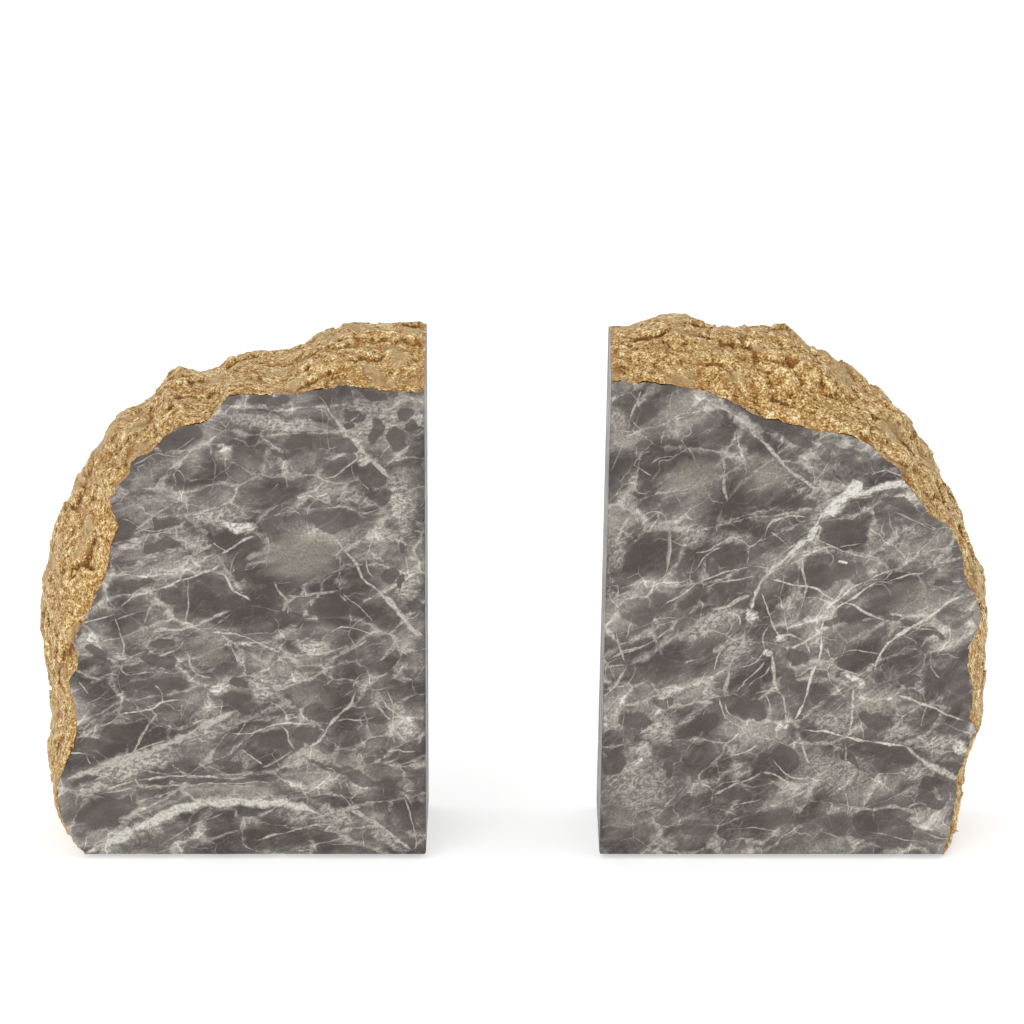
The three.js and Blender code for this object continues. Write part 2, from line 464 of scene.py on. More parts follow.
for slab in (LEFT, RIGHT):
    piece = finish_piece(polished_slab(slab), f"{slab.name}_slab", f"{slab.name}_bookend",
                         f"{slab.name}_marble_slab", smooth=False)
    print(piece.name, "has", len(piece.data.polygons), "faces")

# %% [markdown]
# The gilt crust is broken stone under gold leaf, so its relief is modelled, not painted. Broad lumps
# come from soft noise. The flat, tilted chips come from a cell pattern in which every cell is a small
# plane with a slope of its own, so neighbours meet in steps. A few deep pits are left between them. The
# relief rises from nothing at all four borders, and its depth is limited, so the stone below shows
# through at no more than a few tiny spots near the edges. How deep each point lies below the ground
# around it is kept as an attribute, and so is its distance from the border, because dirt and old varnish
# gather in both places; the depth also carries painted shade into the hollows and a painted highlight
# onto the raised tops. A Solidify modifier gives the shell its wall.

# %% The gilt crusts
CRUST_COLUMNS = 520
CRUST_ROWS = 86
CRUST_THICKNESS = 0.45
CRUST_EDGE_DEPTH = 0.5
CRUST_LIFT = 0.2
SHOULDER = 2.0
BIG_CHIPS = {"spacing": 11.0, "slope": 0.30, "tallest": 1.1}
SMALL_CHIPS = {"spacing": 4.0, "slope": 0.20, "tallest": 0.25}
GROUND_HEIGHT = 0.1
LUMP_HEIGHT = 0.9
CHIP_HEIGHT = 0.8
GRAIN_HEIGHT = 0.14
WAVINESS = 2.2
PIT_LEVEL = 0.60
PIT_DEPTH = 4.0
HOLLOW_REACH = 4


def noise_vector_at(point):
    """Three noises at once, the same on every run; the library's own vector noise is not."""
    return Vector([noise.noise(point + Vector((shift, -shift, 2 * shift))) for shift in (0.0, 31.7, 67.3)])


def chipped_planes(at, spacing, slope, tallest):
    """Height of tilted planes, one for each cell of a cell pattern."""
    _, centres = noise.voronoi(at / spacing)
    centre = centres[0] * spacing
    tilt = noise_vector_at(centre * 0.37) * 2 * slope
    step = noise.noise(centre * 0.53) * tallest
    return max(-tallest, min(tallest, tilt.dot(at - centre) + step))


def relief(slab, point, inward):
    """Height of the broken surface over the CAD rim, in millimetres."""
    at = point + Vector((211.0 * slab.side, 0, 0))
    wavy = at + noise_vector_at(at * 0.2) * WAVINESS
    lumps = noise.fractal(at * 0.07, 0.9, 2.0, 3)
    chips = chipped_planes(wavy, **BIG_CHIPS) + chipped_planes(wavy, **SMALL_CHIPS)
    grains = noise.fractal(at * 0.8, 0.7, 2.1, 3)
    pits = max(0.0, noise.fractal(at * 0.3, 0.8, 2.0, 2) - PIT_LEVEL)
    height = GROUND_HEIGHT + LUMP_HEIGHT * lumps + CHIP_HEIGHT * chips + GRAIN_HEIGHT * grains
    rise = min(1.0, inward / SHOULDER)
    smooth_rise = rise * rise * (3 - 2 * rise)
    deepest = -(UNDER_CRUST - CRUST_THICKNESS) * min(1.0, inward / TUCK_REACH)
    return CRUST_LIFT + max(deepest, (height - PIT_DEPTH * pits) * smooth_rise)


def keep_in_box(mesh, low, high):
    for vert in mesh.verts:
        vert.co = Vector(min(max(c, lo), hi) for c, lo, hi in zip(vert.co, low, high))


def hollowness(heights):
    """How far each height lies below the mean of those around it."""
    width = 2 * HOLLOW_REACH + 1
    padded = np.pad(heights, HOLLOW_REACH, mode="edge")
    columns, rows = heights.shape
    total = sum(padded[i:i + columns, j:j + rows] for i in range(width) for j in range(width))
    return total / width ** 2 - heights


def gilt_crust(slab):
    mesh, heights, cell = rim_sheet(slab, CRUST_COLUMNS, CRUST_ROWS, CRUST_EDGE_DEPTH,
                                    lambda point, inward: relief(slab, point, inward))
    hollow_layer = mesh.verts.layers.float["hollow"]
    hollow = hollowness(heights)
    for vert in mesh.verts:
        vert[hollow_layer] = hollow[cell[vert]]
    bmesh.ops.recalc_face_normals(mesh, faces=mesh.faces[:])
    middle = mesh.faces[len(mesh.faces) // 2]
    if middle.normal.dot(middle.calc_center_median() - place(slab, 0, slab.depth / 2, 0)) < 0:
        bmesh.ops.reverse_faces(mesh, faces=mesh.faces[:])
    keep_in_box(mesh, *cad_box)
    return mesh


for slab in (LEFT, RIGHT):
    piece = finish_piece(gilt_crust(slab), f"{slab.name}_crust", f"{slab.name}_bookend",
                         f"{slab.name}_gilt_crust", smooth=True)
    wall = piece.modifiers.new("leaf and ground", "SOLIDIFY")
    wall.thickness = CRUST_THICKNESS * MM
    wall.offset = -1
    print(piece.name, "has", len(piece.data.polygons), "faces on its outer side")

# %% [markdown]
# Marble is a solid material: its veins run through the block. The pattern is therefore worked out from a
# point's place inside the slab, in the slab's own millimetres, and never from the surface. Broken marble
# like this is dark fragments in a pale, grainy filling, with veins across both. Noise alone gives any
# such stone; these two need their own veins, so the big ones are drawn one by one. The first two groups
# are a warp that makes straight things wander, and a net of cracks.

# %% Groups for the marble
ORIGIN = (0, 0, 0)


def make_wander_group():
    group, given, result = new_group("wander", {"Point": ORIGIN, "Distance": 4.0, "Spacing": 30.0},
                                     "Point", "Vector")
    scale = calc(group, "DIVIDE", 1.0, given["Spacing"])
    spots = noise_at(group, given["Point"], scale, 3.0, 0.5, "Color")
    about_zero = vector_calc(group, "SUBTRACT", spots, (0.5, 0.5, 0.5))
    moved = scaled(group, about_zero, times(group, given["Distance"], 2.0))
    plug(group, result, vector_calc(group, "ADD", given["Point"], moved))
    return group


def make_crack_group():
    group, given, result = new_group("crack_net", {"Point": ORIGIN, "Cell": 20.0, "Width": 0.4}, "Line")
    cells = group.nodes.new("ShaderNodeTexVoronoi")
    cells.feature = "DISTANCE_TO_EDGE"
    set_inputs(group, cells, {"Vector": given["Point"],
                              "Scale": calc(group, "DIVIDE", 1.0, given["Cell"])})
    distance = times(group, cells.outputs["Distance"], given["Cell"])
    plug(group, result, fade(group, distance, 0.0, given["Width"], 1.0, 0.0))
    return group


WANDER = make_wander_group()
CRACK_NET = make_crack_group()


def wander(tree, point, distance, spacing):
    return use_group(tree, WANDER, Point=point, Distance=distance, Spacing=spacing)


def cracks(tree, point, cell, width):
    return use_group(tree, CRACK_NET, Point=point, Cell=cell, Width=width)


print("Marble groups:", WANDER.name, "and", CRACK_NET.name)

# %% [markdown]
# The stones' own patterns. A vein is half its width in millimetres, its tone from dark 0 to white 1, and
# its route as (along, up) points. A patch is how strong it is, its middle, half its length and height,
# and how many degrees it is turned. Pale patches are grainy filling, tan ones are smooth clouds, and dark
# ones are fragments. The left stone has broad arches at its foot; the right one is crossed by fine
# branching veins that meet in white knots.

# %% The left stone's pattern
LEFT_VEINS = [
    (0.85, 0.64, [(36, 160), (31, 152.5), (27, 147.5), (22, 142), (17.5, 136.5), (13, 131.5), (9.5, 127),
                  (8.3, 120), (8.5, 111)]),
    (1.5, 0.50, [(68, 151.5), (60, 151.5), (52, 149.5), (45, 147.5), (38, 147), (32, 146.5)]),
    (0.30, 0.62, [(34, 130), (28, 133), (24, 136), (21.5, 138)]),
    (0.24, 0.55, [(24.5, 135.5), (23, 131), (17.5, 126)]),
    (0.30, 0.55, [(42, 118), (37, 120), (30, 120.5), (24, 120), (20, 117), (17, 115)]),
    (0.22, 0.60, [(51, 117.5), (47, 119), (44, 119.3), (41, 117.5)]),
    (0.20, 0.52, [(60.5, 128), (58, 130.5), (55, 133.5)]),
    (0.20, 0.50, [(51, 126.5), (48.5, 129.5)]),
    (0.20, 0.50, [(44, 120.5), (40, 125)]),
    (0.20, 0.70, [(13.5, 143.4), (10.5, 141.3)]),
    (0.20, 0.64, [(24.5, 150), (21.5, 152.6)]),
    (0.26, 0.56, [(98, 134.5), (94, 136.5), (89, 138.5), (84, 138), (79, 137.5)]),
    (0.28, 0.52, [(83, 140), (80, 142), (76, 145)]),
    (0.22, 0.56, [(86.5, 131.5), (85, 133.3), (82, 133), (80.5, 131.5), (79.7, 128)]),
    (0.22, 0.50, [(79, 133.5), (76, 134.5), (73, 133)]),
    (0.50, 0.56, [(99, 111), (94.5, 114.5), (91, 117), (88, 119.5), (84.5, 122), (80, 124.3), (75, 125)]),
    (0.36, 0.56, [(102, 117), (98, 115.8), (95, 113.2), (92, 112.5), (88, 112.7), (84, 113.5), (80, 114)]),
    (0.22, 0.62, [(92, 120), (91, 116.5), (90.8, 113)]),
    (0.20, 0.58, [(75, 143.7), (70, 143)]),
    (0.24, 0.54, [(74.5, 148.7), (70, 147.5), (66, 145.5)]),
    (0.32, 0.66, [(115.5, 80.3), (110, 82), (106, 83.3), (103.6, 84.6)]),
    (0.48, 0.74, [(103.5, 86.3), (100.5, 88), (97, 90.3), (93, 91), (89.5, 92.5), (85, 94), (80, 96),
                  (75, 98), (70, 100), (66, 103.5)]),
    (0.28, 0.56, [(104, 82), (101, 83), (97, 84.3), (93, 84.8)]),
    (0.36, 0.62, [(79.5, 97.5), (79, 93), (79.2, 88), (80, 80)]),
    (0.46, 0.56, [(88.5, 92.5), (89, 89), (92, 86.5), (93.2, 83.5), (94.5, 80)]),
    (0.85, 0.70, [(93, 76.5), (88, 78.7), (83, 78.2), (79, 79), (75, 80.7), (70, 83.5), (64, 85.5)]),
    (0.36, 0.62, [(104, 84), (103, 80), (102, 76), (101, 72), (101.5, 68)]),
    (0.42, 0.74, [(73, 78.3), (67, 77.5), (60, 75.6), (53, 72.5), (46, 70)]),
    (0.28, 0.66, [(68, 77), (65.5, 73.5), (64, 70.5), (63, 68.5), (62, 66.5)]),
    (0.60, 0.62, [(90, 69.3), (86, 70.7), (82.5, 72.5), (80.3, 75.5)]),
    (0.48, 0.62, [(80, 73), (79.5, 69), (78, 65), (75, 62.5), (70, 62)]),
    (0.32, 0.62, [(101, 62.7), (96, 63.5), (90, 64), (84, 63.6), (78, 63)]),
    (0.24, 0.62, [(116.5, 60.5), (115, 58.5), (113, 56.3)]),
    (0.50, 0.55, [(118, 65), (113, 62.5), (108, 60.8)]),
    (0.26, 0.56, [(103, 66), (100.5, 63), (97, 64)]),
    (0.26, 0.64, [(91.8, 60), (89, 57.5), (88.3, 53)]),
    (0.20, 0.66, [(71, 108.7), (66.5, 105.7)]),
    (0.24, 0.52, [(95, 107), (96, 101)]),
    (0.22, 0.58, [(98.5, 98.8), (95.5, 100), (92.5, 101.7), (88.5, 102.4)]),
    (0.70, 0.58, [(85, 101), (80, 103.3), (75, 105.5), (70.5, 108.5)]),
    (0.30, 0.58, [(85.5, 99.5), (87, 94.3)]),
    (0.46, 0.74, [(68.5, 104.5), (64, 107), (60, 109.5), (56, 110.7)]),
    (0.60, 0.74, [(68.5, 99), (66.3, 96), (64.5, 92.5), (62, 90.5), (59.5, 89.5), (58, 88)]),
    (0.22, 0.52, [(61, 106), (64, 102.5), (65.3, 98.5), (64.5, 95)]),
    (0.52, 0.68, [(32, 113), (29.5, 109.5), (25.5, 104.5), (22.5, 100.5), (20.3, 96), (17, 93), (14, 90),
                  (12, 87.5)]),
    (1.15, 0.72, [(14, 91), (10.5, 86.5), (7, 82.5), (4, 78.5), (0, 76.5)]),
    (0.28, 0.60, [(16, 112.5), (18, 107), (19.6, 103), (18.5, 98.5), (16, 96)]),
    (0.42, 0.54, [(47, 90.5), (40, 90.3), (33, 91), (28, 92.3)]),
    (0.28, 0.60, [(28, 92), (25, 88.7), (21, 85), (17, 81)]),
    (0.30, 0.52, [(28.3, 105), (28.2, 99), (27.7, 94)]),
    (0.26, 0.68, [(33, 74.5), (32, 77), (29.5, 79), (26, 79.3), (22, 78), (18, 77.3), (14, 77.5),
                  (11.5, 79)]),
    (0.40, 0.68, [(49.7, 79.3), (47.5, 78), (44.5, 77.8), (42, 79), (40.5, 81)]),
    (0.50, 0.62, [(32, 68), (28, 70.3), (23, 72.5), (19, 75.5)]),
    (0.80, 0.60, [(50, 57), (45, 59), (41, 61), (36, 63), (31, 66.5)]),
    (0.75, 0.52, [(16, 67.5), (12.5, 70.5), (8.5, 75)]),
    (0.28, 0.56, [(24.5, 58), (22.5, 62), (19, 63.7)]),
    (0.40, 0.55, [(50.5, 95.5), (49, 92), (46, 87.5), (45.5, 83)]),
    (0.80, 0.70, [(23.5, 59), (24.5, 54), (27, 50.5), (30.5, 47.5), (33, 45), (34.5, 41.5), (37, 39),
                  (40, 37.2), (44, 36.8)]),
    (0.34, 0.64, [(44, 37), (46, 39.5), (47, 43), (49.5, 45.7)]),
    (0.42, 0.78, [(68, 42), (60, 42.5), (55, 44), (50, 45.6), (40, 45.9), (31, 46.3)]),
    (0.26, 0.60, [(30, 47), (26, 47.5), (22, 47), (17, 48.5)]),
    (0.36, 0.62, [(41, 36.8), (36, 34.7), (31, 32.5)]),
    (0.28, 0.58, [(13.5, 34), (10.5, 36.7), (6, 36), (2.5, 36.5)]),
    (0.22, 0.64, [(13, 59), (10.5, 51.5), (7, 45), (3.5, 41)]),
    (0.65, 0.64, [(18, 54.5), (14, 49.5), (11, 45.5), (8.5, 40.5)]),
    (0.34, 0.55, [(38.7, 22.5), (38.9, 26), (35.5, 31)]),
    (0.30, 0.56, [(34.5, 31), (31.5, 30), (29.8, 26.5), (28.5, 22.5)]),
    (0.34, 0.54, [(50, 25.6), (45, 26.5), (38, 26), (33, 25.6), (28, 25.3)]),
    (0.30, 0.60, [(29.7, 21.7), (27, 19.5), (24.7, 16.3)]),
    (0.26, 0.60, [(62, 37), (58, 34), (54.7, 31.2)]),
    (0.32, 0.52, [(55.5, 30.3), (50, 33), (44.5, 36.5)]),
    (0.26, 0.60, [(65, 39.5), (63, 42.3), (60.5, 46.5)]),
    (1.05, 0.66, [(27, 16.5), (20, 13), (15, 9.7), (10, 6), (4, 1)]),
    (0.70, 0.58, [(41, 11.5), (34, 14), (28, 15.7), (21, 17.2)]),
    (0.36, 0.64, [(58, 4.5), (50, 7.5), (42, 9.5), (35, 11), (29, 10.3)]),
    (0.26, 0.56, [(47, 2.3), (39, 3.5), (32, 5), (26.5, 7.3)]),
    (0.22, 0.62, [(8, 21.5), (5.5, 14.5), (4.2, 9), (3.3, 4), (3.6, 0)]),
    (0.32, 0.78, [(117.5, 38), (114, 42), (110, 44.5), (106, 46.5), (102, 49.3), (97, 50.2), (92, 51.3),
                  (88.7, 53.3), (84, 53.8), (79, 54.7)]),
    (0.24, 0.56, [(117, 49.5), (113.5, 52.7), (110, 54.7), (107, 58)]),
    (0.20, 0.56, [(117, 43.1), (111, 43.8)]),
    (0.48, 0.56, [(90, 50.5), (93, 45.5), (96, 41), (98.7, 35)]),
    (0.30, 0.62, [(100.5, 34.7), (95.5, 37.3), (91, 39), (86.5, 40.2)]),
    (0.28, 0.68, [(120.5, 36), (114.5, 35.4), (112, 35)]),
    (0.22, 0.64, [(114.4, 35.4), (112.8, 31.8)]),
    (0.30, 0.54, [(81, 54), (82.2, 48.5)]),
    (0.22, 0.60, [(67.8, 54.7), (68.6, 51), (69.8, 46)]),
    (0.42, 0.72, [(112, 22.3), (106, 23.7), (102, 25.2), (97, 26.3), (90, 27.3), (80, 27.6), (70, 27.2),
                  (58, 27)]),
    (0.30, 0.64, [(114, 20), (108, 21.7), (101, 23.2), (92, 24.3), (82, 24.5), (72, 25.2), (60, 25.2),
                  (49, 25.7)]),
    (0.22, 0.52, [(99.5, 23.3), (99.3, 18.3)]),
    (1.7, 0.68, [(124, 25.5), (114, 29), (106, 31.8), (98, 34.3), (90, 37.3), (82, 41), (76, 45),
                 (70, 47.5), (61, 52)]),
    (2.1, 0.84, [(118, -1), (108, 4), (100, 8), (93.5, 11.2), (88, 13.7), (82, 16.4), (76, 18), (68, 18.8),
                 (60, 18.7), (52, 18.3), (45, 17.3), (38, 15), (30, 12.5)]),
    (1.2, 0.46, [(112, 4.5), (103, 10), (96, 14.5), (89, 17.5), (80, 20)]),
    (0.26, 0.60, [(92.5, 1.7), (86, 5.5), (80, 9.7), (74, 12.3), (67, 15.5)]),
    (0.22, 0.56, [(81.5, 12.5), (80, 8.5), (79, 6.3)]),
    (0.50, 0.42, [(80, 2.5), (72, 6), (62, 8.5)]),
]
LEFT_PALE = [
    (0.52, 55, 149.5, 15, 5, 0), (0.50, 17, 150, 17, 13, 0), (0.56, 7, 121, 6, 15, 0),
    (0.62, 70, 117.5, 11, 6.5, 0), (0.98, 63, 113.6, 8, 2, 3), (0.88, 65, 139, 3.2, 3.4, 0),
    (0.56, 6, 95, 6.5, 11, 0), (0.70, 38, 72.7, 7.5, 3.6, 0), (0.62, 54, 59, 9, 7, 0),
    (0.98, 69.5, 57.8, 5, 3, -8), (0.66, 6, 44, 6.5, 6.5, 0), (0.60, 99, 107, 10, 3.2, -28),
    (0.58, 102, 69.5, 6.5, 3.6, 35), (0.46, 90, 75, 13, 5, 0), (0.58, 74, 43, 12, 5.5, -20),
    (0.50, 125, 21, 5, 8, 0), (0.50, 40, 13.5, 14, 3.4, 8), (0.46, 62, 94, 5, 4, 0),
    (0.44, 92, 123, 12, 3, 0), (0.46, 27, 126, 9, 3.5, 0), (0.50, 17, 54, 4, 3.5, 0),
    (0.42, 62, 33, 7, 4, 0), (0.46, 75, 103, 6, 4, 0), (0.40, 112, 64, 6, 3, 0),
    (0.64, 100, 31, 25, 4.6, -14), (0.56, 112, 23, 15, 2.6, -8), (0.58, 93, 11, 15, 3.4, -30),
    (0.60, 62, 19.5, 24, 3.2, 0), (0.56, 31, 14.5, 13, 3.2, 26), (0.56, 14, 6, 9, 3.2, 38),
    (0.48, 88, 25, 20, 1.8, -6), (0.62, 47, 148.5, 21, 3.4, 7), (0.66, 21, 140, 17, 3.4, 53),
    (0.64, 9, 121, 14, 4.4, 72), (0.54, 38, 124, 16, 2.8, -28), (0.50, 22, 122.5, 13, 2.6, 0),
    (0.54, 90, 104, 17, 1.8, -20), (0.50, 88, 97.5, 20, 1.6, -14), (0.50, 85, 117, 14, 2.2, -14),
]
LEFT_TAN = [
    (0.85, 41, 103, 16, 9.5, 0), (0.75, 72, 69.8, 7, 5, 0), (0.75, 37, 55, 9, 4.5, 0),
    (0.60, 39, 67.5, 6.5, 3, 0), (0.60, 20, 30.5, 18, 3.2, 18), (0.45, 97, 77, 9, 4, 0),
    (0.40, 60, 136, 9, 4, 0), (0.40, 62, 22, 12, 2.2, 0), (0.35, 87, 47.5, 8, 3, 0),
]
LEFT_DARK = [
    (0.95, 52, 157.6, 8, 1.7, 0), (0.9, 65, 158.2, 3.2, 1.6, 0), (1.0, 32.6, 158.6, 3.5, 1.7, 30),
    (0.95, 33.5, 155.4, 3.4, 0.8, 40), (1.0, 16.5, 158.8, 5.2, 1.6, 14), (0.9, 24.5, 161.2, 5, 1.1, 5),
    (1.0, 23, 152.2, 3.6, 2.3, 0), (1.0, 24, 148.8, 2.3, 1.4, -10), (1.0, 16.5, 146, 2.7, 4.2, 0),
    (1.0, 9.3, 144.2, 3.3, 3.8, 0), (1.0, 6.5, 152, 3.4, 2, 0), (0.9, 4.5, 148, 2.6, 2, 0),
    (0.95, 41.5, 142.2, 5.6, 2.8, 12), (0.85, 47, 138.8, 5.5, 1.1, 0), (0.9, 26, 141.7, 5, 2.1, 0),
    (0.95, 17.5, 131.5, 4.6, 5, 0), (0.7, 31, 136, 5.5, 3, 0), (0.85, 30.5, 116, 11.5, 3.6, 0),
    (0.8, 15, 124.5, 3.2, 2.6, 0), (1.0, 82, 143.8, 9, 3.4, -24), (0.95, 94, 137, 3.8, 1.7, -20),
    (1.0, 101, 113.7, 5.5, 4.4, 0), (1.0, 87, 115.6, 5.2, 2.7, -12), (1.0, 64, 109.2, 7, 2.6, 0),
    (0.95, 61.6, 100.8, 3, 5.2, 0), (0.9, 97, 94.5, 8, 2.2, -15), (1.0, 8.2, 95.4, 1.3, 2.1, 0),
    (1.0, 12.5, 97, 3, 3, 0), (0.9, 7, 107, 1.6, 1.7, 0), (1.0, 3.2, 86.6, 3.4, 1.8, 0),
    (0.85, 45, 82, 5, 2.2, 10), (0.95, 30, 85.6, 10, 3.4, 0), (1.0, 63, 60, 3.4, 1.7, 0),
    (0.9, 63.5, 54.6, 5, 2, 0), (1.0, 51.5, 40.2, 5.6, 3.2, 0), (1.0, 41.2, 41.8, 5.6, 3.7, 0),
    (0.9, 55, 46.4, 5.6, 1.1, 0), (0.85, 36, 49.6, 6, 3.4, 0), (1.0, 114, 26.7, 4.6, 1.8, -12),
    (0.9, 38, 7, 10, 2.7, 0), (0.85, 23, 27.3, 19, 1.7, 20), (0.95, 108, 15.3, 12, 4.6, -18),
    (0.85, 77, 26, 15, 0.8, 0), (0.95, 110, 70, 4.6, 2.2, 25), (0.95, 89, 67.6, 6, 2.8, 0),
    (0.95, 65, 87.3, 7, 2.2, 0), (0.9, 66, 32.3, 6, 1.9, 0), (0.8, 85, 90.5, 5, 2.5, 0),
    (0.85, 72, 92.5, 5.5, 4, 0), (0.9, 88, 107.5, 7, 2.6, -15), (0.8, 103, 41.5, 9, 4, -25),
    (0.8, 88, 59.5, 9, 3, 0), (0.85, 88, 73.8, 4.5, 1.6, 0), (0.8, 62, 26.1, 8, 1.6, 0),
    (0.75, 8, 13, 5.5, 5, 0), (0.7, 85, 7, 10, 3.2, -20), (0.6, 50, 125, 9, 3, 0),
]

